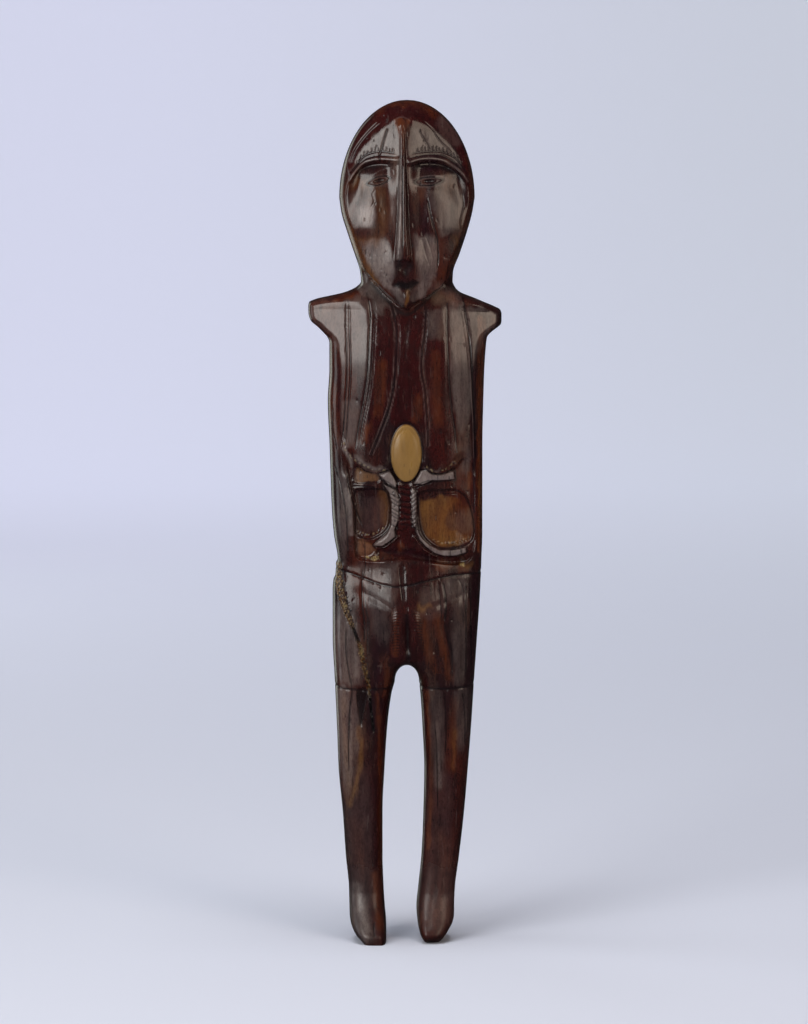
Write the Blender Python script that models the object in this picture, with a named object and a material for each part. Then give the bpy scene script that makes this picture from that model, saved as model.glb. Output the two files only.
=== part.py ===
"""Walrus ivory figure: a standing human figure carved from one length of tusk.

The carving is drawn in its front view, in thousandths of its height. There u runs to the viewer's
right from the middle, w runs up from the soles, and a depth is measured from the side line, where
the front and back surfaces meet. The figure faces -Y and stands on its soles at z = 0.
"""
import bmesh
import bpy
import numpy as np

# Driving dimensions, in metres
HEIGHT = 0.260
PAIRED_LINE_WIDTH = 0.0019
PAIRED_LINE_DEPTH = 0.0004
BELLY_RECESS_DEPTH = 0.0016
FISSURE_WIDTH = 0.0016

# Fineness of the carved surface before it is reduced to the solid's own faces
FRONT_COLUMNS = 96
BACK_COLUMNS = 36
ROW_STEP = 3.0
FINE_ROW_STEP = 1.7
FINE_ROWS = [(0, 22), (327, 339), (448, 600), (745, 950)]
SOLID_TRIANGLES = 9400

MILLE = HEIGHT / 1000

# The head above its widest level is half an ellipse
CROWN = {"level": 885, "middle": 2.4, "half_width": 80.0, "rise": 115.0}

# Level, left side and right side of the body below the widest level of the head
SIDES = [
    (885, -77.6, 82.4), (868, -75.2, 79.6), (844, -68, 73), (820, -60, 65), (797, -53, 57),
    (786, -52, 56.5), (780, -57, 59), (776, -64, 62), (772, -75, 68), (768.5, -91, 77),
    (765, -106, 86), (761.5, -113.5, 94), (757, -114.4, 105), (753, -114.4, 112.5),
    (748, -114.2, 114.4), (740, -111.5, 114.4), (736.5, -108, 114), (733, -103.5, 110.5),
    (726, -96.5, 101.5), (721, -92, 97.5), (714, -89.5, 96.4), (683, -89.5, 94.2),
    (645, -91.5, 93), (594, -89.5, 92), (520, -87, 92), (487, -84.5, 92), (457, -80, 91),
    (451, -82.2, 90.8), (438, -82.6, 90.4), (432, -85, 90), (419, -86, 89.5), (367, -86, 86),
    (314, -83.5, 82.4), (260, -81, 79), (207, -79, 75), (153, -74, 70.5), (100, -70.5, 64.6),
    (64, -67, 60), (45, -66.5, 59), (30, -66, 58.8), (23, -65, 57.5), (14, -62, 53), (6, -57, 48),
    (2, -53, 45), (0, -51, 43),
]

# The gap between the legs: a round arch on top, then its left and right edge by level
ARCH = {"level": 311, "middle": 2.4, "half_width": 14.4, "rise": 20.0}
GAP_SIDES = [
    (311, -12, 16.8), (296, -16, 18.4), (260, -20.7, 20.7), (207, -24.3, 23), (153, -26.7, 22),
    (100, -26.7, 19.6), (64, -25.5, 16), (39, -24, 13.7), (23, -22.5, 15), (10, -22.3, 17.7),
    (3, -22.3, 20.5), (0, -22.3, 22),
]
CROTCH = ARCH["level"] + ARCH["rise"]

# Level, depth in front of the side line, depth behind it, and how far forward the side line lies
PROFILE = [
    (1000, 40, 42, 2), (960, 38, 53, 2), (900, 40, 58, 2), (850, 38, 55, 2), (800, 30, 44, 1),
    (785, 34, 40, 0), (757, 45, 38, 0), (735, 50, 40, 0), (710, 54.5, 43, 0), (690, 55.5, 43, 0),
    (640, 54.5, 43, 0), (600, 53, 42, 0), (550, 51.5, 41, 0), (500, 50.5, 43, 0), (456, 49, 47, 0),
    (425, 52, 50, 0), (400, 54, 50, 0), (375, 52.5, 50, 0), (331, 46, 46, 1), (300, 42, 42, 2),
    (250, 37, 38, 3), (200, 34, 36, 3), (150, 31, 34, 1), (100, 29, 32, -1), (60, 28, 31, -2),
    (45, 31, 31, -1), (30, 38, 31, 0), (18, 47, 31, 0), (8, 53, 30, 0), (0, 52, 29, 0),
]
HEAD_PROFILE = [(1000, 46), (960, 54), (900, 60), (850, 63), (800, 63), (770, 60), (700, 52)]

# The planes of the face: level, depth of the flat middle, fall beside it, and the middle's half width
FACE_PLANES = [
    (1000, 40, 0.28, 12), (978, 45, 0.27, 11), (965, 47.5, 0.27, 6), (945, 50.5, 0.26, 3.5),
    (928, 53, 0.25, 8), (910, 54, 0.24, 36), (885, 55, 0.26, 31), (852, 57.4, 0.27, 25.5),
    (836, 58.6, 0.27, 18), (800, 60.4, 0.27, 9), (770, 59, 0.36, 4), (700, 50, 0.40, 4),
]
FACE_MIDDLE = -1.5

# The hood's edge round the face, and how steeply the hood falls outside it
FACE_FIELD = [
    (-4, 981), (-26, 976), (-45, 960), (-58, 941), (-66, 920), (-72, 893), (-73, 866), (-66, 838), (-57, 812),
    (-50, 780), (-40, 745), (0, 730), (45, 745), (58, 790), (66, 825), (74, 855), (76, 885), (71, 918),
    (60, 944), (44, 965), (22, 978),
]
HOOD_FALL = 0.50

# How much of the profile's depth the right foot's front has, by level: its toe rounds up from the ground
RIGHT_FOOT_REACH = [(0, 0.60), (3, 0.72), (7, 0.84), (12, 0.88), (60, 1.0)]

# Level and how far in from the side line the surface is rounded, on the body and at the gap
ROUNDING = [
    (1000, 56), (870, 48), (820, 38), (795, 26), (780, 12), (760, 9), (735, 10), (712, 17),
    (650, 22), (456, 22), (400, 25), (331, 27), (250, 28), (100, 26), (40, 24), (15, 18), (0, 11),
]
BACK_ROUNDING = [
    (1000, 62), (870, 62), (820, 52), (790, 34), (760, 12), (735, 13), (700, 30), (400, 34),
    (331, 30), (250, 28), (100, 26), (40, 20), (15, 12), (0, 9),
]
GAP_ROUNDING = [(340, 20), (300, 24), (250, 27), (100, 26), (40, 19), (15, 11), (0, 7)]
JAW_ROUNDING = 15
EDGE_FULLNESS = 3.0

# The front's flat middle by level: its half width, and how steeply the planes beside it fall
FRONT_PLANES = [
    (1000, 44, 0.26), (640, 44, 0.26), (560, 49, 0.25), (470, 54, 0.24), (450, 20, 0.20), (400, 14, 0.20),
    (335, 20, 0.08), (300, 40, 0.0), (0, 40, 0.0),
]

# The jaw's edge, from the left temple round the chin to the right temple
JAW = [
    (-72, 850), (-62, 826), (-51, 803), (-34, 782), (-15, 762), (1, 751), (16, 760), (35, 773),
    (53, 791), (63, 810), (69, 828), (78, 850),
]

# Features of the face
BROWS = [
    [(-65, 906), (-58, 917.5), (-49.5, 926), (-39.5, 930), (-28, 931.3), (-8, 930)],
    [(5, 927.5), (17, 931), (30, 932), (43.5, 930), (53.5, 925), (66, 916), (74, 905)],
]
SOCKET_DEPTH = 6.0
EYES = [((-31, 905.5), 13.5, 4.6, 15), ((28, 905), 16, 4.8, 4)]
NOSE_LEVELS = [
    (972, 2.0, 0), (960, 3.0, 2.0), (926, 4.0, 4.0), (884, 5.4, 6.5), (843, 7.4, 9.5), (826, 9.0, 12.0),
    (812, 10.5, 11.5),
]
NOSE_LINE = [(972, -3.5), (926, -2.5), (884, -2.2), (843, -2.4), (812, -2)]
NOSE_TIP = 813
CHEEKS = [(-46, 862, 26, 30, 1.6), (48, 862, 26, 36, 1.4)]
CHEEK_HOLLOWS = [(-21, 868, 10, 36, 2.4), (21, 864, 11, 38, 2.4)]
MOUTH = [(-13, 784), (-5, 789), (2, 787), (9, 790), (17, 787), (9, 780), (2, 778), (-5, 780)]
CHIN_RIDGE = [(1, 779), (1, 770), (1, 760)]

# Paired lines cut down the chest
CHEST_LINES = [
    [(-67, 768), (-67, 729), (-66, 682), (-68, 646), (-71, 610), (-73, 589)],
    [(-43, 774), (-39, 751), (-40, 718), (-42, 682), (-46, 652), (-53, 616), (-56, 591)],
    [(-16, 760), (-10, 735), (-10, 706), (-12, 676), (-17, 646), (-28, 614), (-40, 584)],
    [(25, 754), (23, 727), (19.5, 700), (19.5, 683), (23, 663), (25, 640), (27, 612), (27, 594)],
    [(49.5, 762), (49.5, 729), (51, 694), (52.5, 664), (55.5, 634), (59, 610), (61, 587)],
    [(67, 769), (71.5, 741), (75.5, 712), (78, 682), (79.5, 652), (81.5, 622), (82.5, 580)],
]

# The small being carved on the belly, and the recesses that set it free
BELLY_FIELD = [
    (-67, 584), (-61, 573), (-51.7, 567.6), (-43.6, 564.2), (-37.4, 562.6), (-29.3, 563.5), (-19, 566),
    (1, 570), (18, 566.5), (24.3, 565.5), (32.4, 562), (42.6, 561.8), (51.8, 564.5), (60, 570),
    (68, 579), (78, 574), (83, 555), (84, 520), (85, 492), (82, 472), (76, 458), (60, 453.5),
    (30, 456.5), (0, 460), (-30, 457.5), (-45, 458), (-57, 462), (-60, 485), (-60, 505), (-61, 525),
    (-64, 545), (-67, 565),
]
BREAST_BEVEL = 2.2
HEAD_OVAL = {"middle": (1.5, 586), "half_width": 18.5, "half_height": 34.5, "rise": 6.0}
POCKETS = [
    ([(-57.5, 566), (-49, 566.5), (-41.5, 563), (-32, 561.5), (-30.5, 551.5), (-41.5, 550),
      (-58, 550.5)], 1.4),
    ([(-57, 481), (-48, 481.5), (-40, 478.5), (-35, 472.5), (-38, 466), (-45, 463), (-56, 465)], 1.2),
]
POCKET_LIP = [(-62, 548), (-50, 548.5), (-36, 546.5), (-26, 546)]
SCOOPS = [
    [(-59.5, 541), (-45, 543.8), (-27, 543.5), (-20, 538), (-17.2, 526), (-17.4, 512), (-19, 500),
     (-24.5, 492), (-32, 486.5), (-41, 483), (-52, 485), (-58.5, 491), (-59.5, 505), (-58, 522)],
    [(14.8, 537), (24, 541.5), (44, 543), (62, 542), (73, 533), (79, 517), (82, 500), (81, 485),
     (73, 476.5), (56, 473), (41, 472.5), (29, 479), (20, 490), (16, 508), (14.4, 524)],
]
SCOOP_DEPTH = 4.5
TRUNK = [
    (-8, 553), (9, 553), (8.5, 535), (8, 520), (10, 503), (2, 498), (-7, 494), (-9, 502), (-7, 520),
    (-8, 538),
]
TRUNK_DROP = 3.4
PLATES = [
    ([(-31.3, 560.2), (-24, 563), (-18, 564.5), (-13, 557.5), (-9.4, 550), (-10.9, 543.5),
      (-20, 548.6)], -1.2, 0.10),
    ([(-25.4, 548.8), (-18, 546.8), (-10.4, 543.4), (-7.3, 534.2), (-6.8, 524), (-7.6, 508.6),
      (-9.4, 502.4), (-12.5, 494.2), (-11.2, 487), (-19, 480.5), (-27.2, 475.2), (-37.4, 476.3),
      (-29.3, 484), (-21.1, 491.2), (-16.7, 500.4), (-16, 513.7), (-16, 528.1), (-18.6, 538.3)], -1.6, 0.07),
    ([(10, 549.5), (14, 557), (18.5, 565), (25, 566), (31.5, 561), (42.6, 560.3), (57.6, 564.8), (59, 554.7),
      (39.6, 553.4), (31.4, 553.6), (21, 548.5)], -2.2, 0.0),
    ([(7.6, 546), (13.4, 541), (13.9, 524), (13.6, 506), (14.2, 497), (9.6, 499), (8.4, 512),
      (7.6, 530)], -2.2, 0.0),
    ([(14, 500), (17, 491), (21, 484.5), (29, 477), (41, 470.9), (56, 470.9), (72.2, 474), (72.4, 468),
      (61, 464), (45.7, 464), (35.5, 467), (25.3, 474.3), (17.1, 483.4), (13.2, 493)], -1.4, 0.0),
]
LEG_STRANDS = [
    [(-34, 473.6), (-25, 473.8), (-17, 479), (-8, 486.5)],
    [(11, 486.5), (16.5, 478), (26, 469), (38, 462.5)],
]
LOWER_SHADOW = [(-30, 468), (0, 467), (24, 461.5), (48, 458), (64, 458.5)]

# Lines that go round the body
BELT = [(-88, 449), (-65, 443), (-43, 435), (-23, 429), (-3, 428), (24, 434), (54, 440), (95, 443)]
GARTERS = [
    [(-90, 309), (-59, 305), (-15, 306)],
    [(10, 308), (50, 306), (92, 311)],
]

# The front seam, the groin and the lobes beside the cleft
SEAM = [(-4, 456), (-3, 432), (-1, 408)]
GROIN_LINES = [
    [(-62, 428), (-50, 420), (-35, 413), (-15, 401), (-8, 396)],
    [(80, 423), (54, 411), (28, 402), (9, 396)],
]
LOBES = [
    ([(-5, 402), (-8, 388), (-9, 366), (-7.5, 346)], 8.5),
    ([(9, 399), (13, 386), (15.5, 366), (18, 348)], 8.0),
]
CLEFT = [(2, 394), (3, 366), (4, 340)]
HIP_LINES = [
    [(-50, 439), (-50, 408), (-46, 360), (-43, 334)],
    [(39, 437), (41, 408), (43, 382), (52, 348), (54, 315)],
    [(68, 441), (68, 396), (69, 348), (68, 313)],
]

# The long age crack down the hip
FISSURE = [
    (-80, 454), (-78, 432), (-72, 406), (-65, 388), (-58, 370), (-52, 352), (-48, 332), (-43, 308),
    (-40, 280), (-37, 255),
]
FISSURE_OPENING = [
    (0, 0.95), (0.20, 0.85), (0.33, 0.50), (0.39, 0.25), (0.45, 0.25), (0.52, 0.42), (0.68, 0.36),
    (0.76, 0.22), (1, 0.12),
]
FISSURE_DEPTH = 5.0

# The back, which is plainer
SPINE = [(2, 745), (1, 640), (1, 540), (2, 470)]
BUTTOCK_CLEFT = [(2, 432), (3, 390), (3, 340)]
BUTTOCKS = [(-38, 385, 34, 46, 4.0), (40, 385, 34, 46, 4.0)]
BACK_LINES = [
    [(-52, 752), (-48, 690), (-50, 620), (-58, 540), (-62, 470)],
    [(54, 752), (50, 690), (52, 620), (60, 540), (64, 470)],
]
NAPE_LINE = [(-60, 812), (-30, 800), (2, 796), (34, 800), (64, 812)]


def ramp(low, high, value):
    """0 below low, 1 above high and a smooth rise between."""
    t = np.clip((value - low) / (high - low), 0, 1)
    return t * t * (3 - 2 * t)


def curve_by_level(table, column, level):
    """A monotone cubic through one column of a table whose first column is the level."""
    rows = sorted(table)
    known = np.array([row[0] for row in rows], float)
    value = np.array([row[column] for row in rows], float)
    step = np.diff(known)
    slope = np.diff(value) / step
    tangent = np.zeros(len(known))
    same_way = slope[:-1] * slope[1:] > 0
    safe = np.where(same_way, slope[:-1] * slope[1:], 1)
    tangent[1:-1] = np.where(same_way, 2 * safe / np.where(same_way, slope[:-1] + slope[1:], 1), 0)
    tangent[0], tangent[-1] = slope[0], slope[-1]
    level = np.clip(level, known[0], known[-1])
    i = np.clip(np.searchsorted(known, level, side="right") - 1, 0, len(step) - 1)
    t = (level - known[i]) / step[i]
    return (
        value[i] * (1 + 2 * t) * (1 - t) ** 2
        + tangent[i] * step[i] * t * (1 - t) ** 2
        + value[i + 1] * t * t * (3 - 2 * t)
        + tangent[i + 1] * step[i] * t * t * (t - 1)
    )


def side(level, which):
    """The left (1) or right (2) side of the figure at a level."""
    level = np.asarray(level, float)
    rise = np.clip((level - CROWN["level"]) / CROWN["rise"], 0, 1)
    crown = CROWN["half_width"] * np.sqrt(1 - rise ** 2)
    crown = CROWN["middle"] + (crown if which == 2 else -crown)
    return np.where(level > CROWN["level"], crown, curve_by_level(SIDES, which, level))


def gap_side(level, which):
    """The left (1) or right (2) edge of the gap between the legs at a level."""
    level = np.asarray(level, float)
    rise = np.clip((level - ARCH["level"]) / ARCH["rise"], 0, 1)
    arch = ARCH["half_width"] * np.sqrt(1 - rise ** 2)
    arch = ARCH["middle"] + (arch if which == 2 else -arch)
    return np.where(level > ARCH["level"], arch, curve_by_level(GAP_SIDES, which, level))


def smooth_line(points, closed=False, parts=6):
    """A Catmull-Rom curve through the points."""
    p = np.array(points, float)
    count = len(p)
    out = []
    for i in range(count if closed else count - 1):
        if closed:
            a, b, c, d = (p[(i + k) % count] for k in (-1, 0, 1, 2))
        else:
            a, b, c, d = (p[min(max(i + k, 0), count - 1)] for k in (-1, 0, 1, 2))
        for t in np.arange(parts) / parts:
            square, cube = 2 * a - 5 * b + 4 * c - d, 3 * b - a - 3 * c + d
            out.append(0.5 * (2 * b + (c - a) * t + square * t ** 2 + cube * t ** 3))
    out.append(p[0] if closed else p[-1])
    return np.array(out)


def distance_to_line(u, w, line, reach=1e9):
    """Distance to a polyline and the share of its length there, for the points within reach of it."""
    distance = np.full(u.shape, 1e9)
    share = np.zeros(u.shape)
    low, high = line.min(0) - reach, line.max(0) + reach
    near = np.where((u >= low[0]) & (u <= high[0]) & (w >= low[1]) & (w <= high[1]))[0]
    if not len(near):
        return distance, share
    pu, pw = u[near], w[near]
    best, along = np.full(len(near), 1e9), np.zeros(len(near))
    lengths = np.hypot(*np.diff(line, axis=0).T)
    total, done = lengths.sum(), 0.0
    for (au, aw), (bu, bw), length in zip(line[:-1], line[1:], lengths):
        t = np.clip(((pu - au) * (bu - au) + (pw - aw) * (bw - aw)) / max(length ** 2, 1e-12), 0, 1)
        d = np.hypot(pu - au - t * (bu - au), pw - aw - t * (bw - aw))
        closer = d < best
        best = np.where(closer, d, best)
        along = np.where(closer, (done + t * length) / total, along)
        done += length
    distance[near], share[near] = best, along
    return distance, share


def depth_inside(u, w, loop, reach=1e9):
    """Distance inside a closed line, negative outside it."""
    distance, _ = distance_to_line(u, w, loop, reach)
    inside = np.zeros(u.shape, bool)
    for (au, aw), (bu, bw) in zip(loop[:-1], loop[1:]):
        if aw == bw:
            continue
        crosses = (aw > w) != (bw > w)
        inside ^= crosses & (u < au + (w - aw) * (bu - au) / (bw - aw))
    return np.where(inside, distance, -distance)


def rounded(share):
    """The rise of a rounded edge, from 0 on the side line to 1 where the flat begins."""
    share = np.clip(share, 0, 1)
    return (1 - (1 - share) ** EDGE_FULLNESS) ** (1 / EDGE_FULLNESS)


def soft_max(a, b, blend):
    """The larger of two surfaces, with the crease between them eased."""
    h = np.clip(0.5 + 0.5 * (a - b) / blend, 0, 1)
    return b + (a - b) * h + blend * h * (1 - h)


def mound(u, w, place):
    """A low rounded swelling: middle, half width, half height and rise."""
    mu, mw, half_width, half_height, rise = place
    return rise * np.exp(-(((u - mu) / half_width) ** 2) - ((w - mw) / half_height) ** 2)


def groove(u, w, points, width, depth, taper=0.08):
    """A rounded groove along a line, which runs out at both ends."""
    line = smooth_line(points)
    d, share = distance_to_line(u, w, line, 2 * width)
    ends = ramp(0, taper, share) * ramp(0, taper, 1 - share) if taper else 1
    return -depth * ends * np.exp(-((2 * d / width) ** 2))


def band(u, w, points, half_width, edge):
    """1 along a line to half_width and 0 beyond it."""
    d, _ = distance_to_line(u, w, smooth_line(points), half_width + 2 * edge)
    return 1 - ramp(half_width - edge, half_width + edge, d)


def nose_relief(u, w):
    """A long ridge from the forehead that widens and rises to a square-cut tip."""
    middle = curve_by_level(NOSE_LINE, 1, w)
    half = curve_by_level(NOSE_LEVELS, 1, w)
    rise = curve_by_level(NOSE_LEVELS, 2, w)
    across = np.clip(np.abs(u - middle) / half, 0, 1)
    ridge = rise * (1 - 0.10 * across) * (1 - ramp(0.62, 1.0, across))
    return ridge * ramp(NOSE_TIP - 2.5, NOSE_TIP + 1.5, w) * (w < NOSE_LEVELS[0][0])


def face_relief(u, w):
    """Brows over sunk sockets, slit eyes, nose, cheeks, mouth and chin."""
    out = np.zeros(u.shape)
    for points in BROWS:
        line = smooth_line(points)
        below = np.interp(u, line[:, 0], line[:, 1]) - w
        ends = ramp(-3, 14, u - line[0, 0]) * ramp(-3, 14, line[-1, 0] - u)
        out -= SOCKET_DEPTH * ends * ramp(1, 7, below) * (1 - ramp(14, 50, below))
        out += 1.4 * band(u, w, points, 2.5, 3.0)
    for (mu, mw), half_long, half_high, tilt in EYES:
        c, s = np.cos(np.radians(tilt)), np.sin(np.radians(tilt))
        a = ((u - mu) * c + (w - mw) * s) / half_long
        b = (-(u - mu) * s + (w - mw) * c) / (half_high * np.clip(1 - a * a, 0.05, 1))
        r = np.hypot(a, b)
        out += 0.9 * (1 - ramp(0.85, 1.35, r)) - 1.0 * (1 - ramp(0.15, 0.6, r))
        out -= 0.6 * np.exp(-(((r - 1.0) / 0.16) ** 2))
    for place in CHEEKS:
        out += mound(u, w, place)
    for place in CHEEK_HOLLOWS:
        out -= mound(u, w, place)
    mouth = depth_inside(u, w, smooth_line(MOUTH, closed=True), 12)
    out -= 0.8 * ramp(-4, 3, mouth)
    out += 3.0 * band(u, w, CHIN_RIDGE, 0.6, 4.5)
    out -= 1.8 * np.exp(-(((u - 2) / 8) ** 2) - ((w - 803) / 9) ** 2)
    return out + nose_relief(u, w)


def belly_relief(u, w):
    """The recessed belly with the small being in it: oval head, trunk, arms and legs."""
    recess = BELLY_RECESS_DEPTH / MILLE
    field = depth_inside(u, w, smooth_line(BELLY_FIELD, closed=True), 20)
    out = -recess * ramp(-1.2, 2.0, field) * ramp(87, 76, u)
    out -= BREAST_BEVEL * ramp(-9, 0, field) * (1 - ramp(0, 1.5, field)) * ramp(556, 566, w)
    for loop, deeper in POCKETS:
        out -= deeper * ramp(-1.0, 1.2, depth_inside(u, w, smooth_line(loop, closed=True), 12))
    out += 0.7 * band(u, w, POCKET_LIP, 1.0, 1.4)
    for loop in SCOOPS:
        scoop = depth_inside(u, w, smooth_line(loop, closed=True), 40)
        out -= SCOOP_DEPTH * ramp(-0.8, 2.6, scoop) * (0.55 + 0.45 * ramp(0, 22, scoop))
    trunk = ramp(-0.8, 0.8, depth_inside(u, w, smooth_line(TRUNK, closed=True), 12))
    out = soft_max(out, -14 + (14 - TRUNK_DROP) * trunk, 0.6)
    for points in LEG_STRANDS:
        out = soft_max(out, -14 + 11.2 * band(u, w, points, 1.3, 0.8), 0.5)
    for points, height, tilt in PLATES:
        shape = np.array(points + points[:1], float)
        plate = ramp(-0.8, 0.8, depth_inside(u, w, shape, 12))
        top = height + tilt * (u - shape[:, 0].mean())
        out = soft_max(out, -14 + (14 + top) * plate, 0.5)
    out -= 3.4 * np.exp(-((distance_to_line(u, w, smooth_line(LOWER_SHADOW), 20)[0] / 4.6) ** 2))
    mu, mw = HEAD_OVAL["middle"]
    r = np.hypot((u - mu) / HEAD_OVAL["half_width"], (w - mw) / HEAD_OVAL["half_height"])
    # A narrow moat makes the oval stand out on the chest side too
    out -= 1.8 * ramp(0.92, 1.0, r) * (1 - ramp(1.04, 1.2, r))
    dome = HEAD_OVAL["rise"] * np.sqrt(np.clip(1 - r ** 2, 0, 1)) - 3.6
    return np.where(r < 1, np.maximum(out, dome), out)


def hip_relief(u, w):
    """Seam, groin lines, the two lobes and the cleft between them."""
    out = groove(u, w, SEAM, 6, 0.7)
    for points in GROIN_LINES:
        out += groove(u, w, points, 8, 0.8, 0.25)
    for points, half_width in LOBES:
        out += 1.8 * band(u, w, points, half_width - 3.5, 4.0)
    out += groove(u, w, CLEFT, 7, 3.5, 0.3)
    for points in HIP_LINES:
        out += groove(u, w, points, 4.5, 1.1, 0.15)
    return out


def fissure_relief(u, w):
    """An open crack that narrows as it runs down."""
    d, share = distance_to_line(u, w, smooth_line(FISSURE), 20)
    width = FISSURE_WIDTH / MILLE * np.interp(share, *zip(*FISSURE_OPENING))
    return -FISSURE_DEPTH * (1 - 0.5 * share) * (1 - ramp(0.25, 1.0, d / width))


def front_relief(u, w):
    """Everything carved on the front, as a height over the plain surface."""
    out = face_relief(u, w) * ramp(752, 762, w)
    chest = np.zeros(u.shape)
    for points in CHEST_LINES:
        chest += groove(u, w, points, PAIRED_LINE_WIDTH / MILLE, PAIRED_LINE_DEPTH / MILLE)
    return out + chest + belly_relief(u, w) + hip_relief(u, w) + fissure_relief(u, w)


def back_relief(u, w):
    """The plainer carving of the back."""
    out = groove(u, w, SPINE, 16, 3.0, 0.15) + groove(u, w, BUTTOCK_CLEFT, 9, 5.0, 0.25)
    for place in BUTTOCKS:
        out += mound(u, w, place)
    for points in BACK_LINES:
        out += groove(u, w, points, PAIRED_LINE_WIDTH / MILLE, PAIRED_LINE_DEPTH / MILLE)
    return out + groove(u, w, NAPE_LINE, 7, 2.0, 0.15)


def ring_relief(u, w):
    """Belt and garter lines, which go round the sides and the back as well."""
    out = np.zeros(u.shape)
    for points in [BELT] + GARTERS:
        line = smooth_line(points)
        level = np.interp(u, line[:, 0], line[:, 1])
        within = (u >= line[0, 0]) & (u <= line[-1, 0])
        out -= np.where(within, 0.8 * np.exp(-(((w - level) / 1.7) ** 2)), 0)
    return out


def outline():
    """Both sides of the figure as one open line, from the left sole over the crown to the right."""
    top = CROWN["level"] + CROWN["rise"]
    level = np.concatenate([np.linspace(0, top - 10, 496), top - 10 * np.linspace(1, 0, 30)[1:] ** 2])
    left = np.stack([side(level, 1), level], 1)
    right = np.stack([side(level, 2), level], 1)
    return np.concatenate([left, right[::-1]])


def gap_outline():
    """The edge of the gap between the legs, from the left sole over the arch to the right sole."""
    level = np.concatenate([np.linspace(0, 325, 163), CROTCH - 6 * np.linspace(1, 0, 14)[1:] ** 2])
    left = np.stack([gap_side(level, 1), level], 1)
    right = np.stack([gap_side(level, 2), level], 1)
    return np.concatenate([left, right[::-1]])


def plain_depths(u, w):
    """Front and back depth of the uncarved form."""
    from_side, _ = distance_to_line(u, w, outline())
    from_gap, _ = distance_to_line(u, w, gap_outline(), 60)
    gap = rounded(from_gap / curve_by_level(GAP_ROUNDING, 1, w))
    beyond = np.abs(u - (side(w, 1) + side(w, 2)) / 2) - curve_by_level(FRONT_PLANES, 1, w)
    body = curve_by_level(PROFILE, 1, w) - curve_by_level(FRONT_PLANES, 2, w) * soft_max(beyond, 0, 4)
    body = body * rounded(from_side / curve_by_level(ROUNDING, 1, w)) * gap
    jaw = smooth_line(JAW)
    from_jaw, _ = distance_to_line(u, w, jaw, 80)
    above = w > np.interp(u, jaw[:, 0], jaw[:, 1], left=JAW[0][1], right=JAW[-1][1])
    from_jaw = np.where(above, from_jaw, 0)
    edge = np.minimum(from_side / curve_by_level(ROUNDING, 1, np.maximum(w, 845)), from_jaw / JAW_ROUNDING)
    head = curve_by_level(HEAD_PROFILE, 1, w) * rounded(edge)
    aside = np.abs(u - FACE_MIDDLE) - curve_by_level(FACE_PLANES, 3, w)
    planes = curve_by_level(FACE_PLANES, 1, w) - curve_by_level(FACE_PLANES, 2, w) * soft_max(aside, 0, 3)
    field = depth_inside(u, w, smooth_line(FACE_FIELD, closed=True), 90)
    planes -= HOOD_FALL * soft_max(-field, 0, 3) * ramp(760, 800, w)
    head = -soft_max(-head, -planes, 1.6)
    front = np.where(w > 700, soft_max(body, head, 1.5), body)
    front = front * np.where(u > ARCH["middle"], np.interp(w, *zip(*RIGHT_FOOT_REACH)), 1.0)
    back = curve_by_level(PROFILE, 2, w) * rounded(from_side / curve_by_level(BACK_ROUNDING, 1, w)) * gap
    return front, back, from_side, from_gap


def row_levels():
    """The levels of the rows, closer together where the carving is fine."""
    top = CROWN["level"] + CROWN["rise"]
    levels, level = [0.0], 0.0
    while level < top - 0.6:
        step = FINE_ROW_STEP if any(low <= level < high for low, high in FINE_ROWS) else ROW_STEP
        if level > top - 15:
            step = max(0.25, (top - level) * 0.28)
        elif 0 < level - CROTCH < 4 or 0 < CROTCH - level < 3:
            step = 0.8
        if level < CROTCH < level + step:
            step = CROTCH - level
        level += step
        levels.append(level)
    return np.array(levels)


def column_places(count, level, first, last, open_end):
    """Where the columns of one half lie between its outer side and its inner edge."""
    share = np.linspace(0, 1, count + 1)
    outer_dense = 1 - np.cos(share * np.pi / 2)
    both_dense = (1 - np.cos(share * np.pi)) / 2
    outer_dense = 0.6 * outer_dense + 0.4 * share
    blend = 1.0 if open_end else 1 - float(ramp(CROTCH + 6, CROTCH + 90, level))
    return first + (last - first) * ((1 - blend) * outer_dense + blend * both_dense)


def row_columns(count, level):
    """The places across one row, for the left and the right half."""
    half = count // 2
    if level < CROTCH:
        inner = gap_side(level, 1), gap_side(level, 2)
    else:
        weight = float(ramp(CROTCH, CROTCH + 120, level))
        centre = (1 - weight) * ARCH["middle"] + weight * float(side(level, 1) + side(level, 2)) / 2
        inner = centre, centre
    left = column_places(half, level, side(level, 1), inner[0], level < CROTCH)
    right = column_places(half, level, side(level, 2), inner[1], level < CROTCH)[::-1]
    return left, right


def sheet_points(levels, count):
    """The drawing's u and w of every row's left and right half."""
    rows = [row_columns(count, level) for level in levels]
    u = np.array([np.concatenate(row) for row in rows])
    return u, np.repeat(levels[:, None], u.shape[1], 1)


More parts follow.
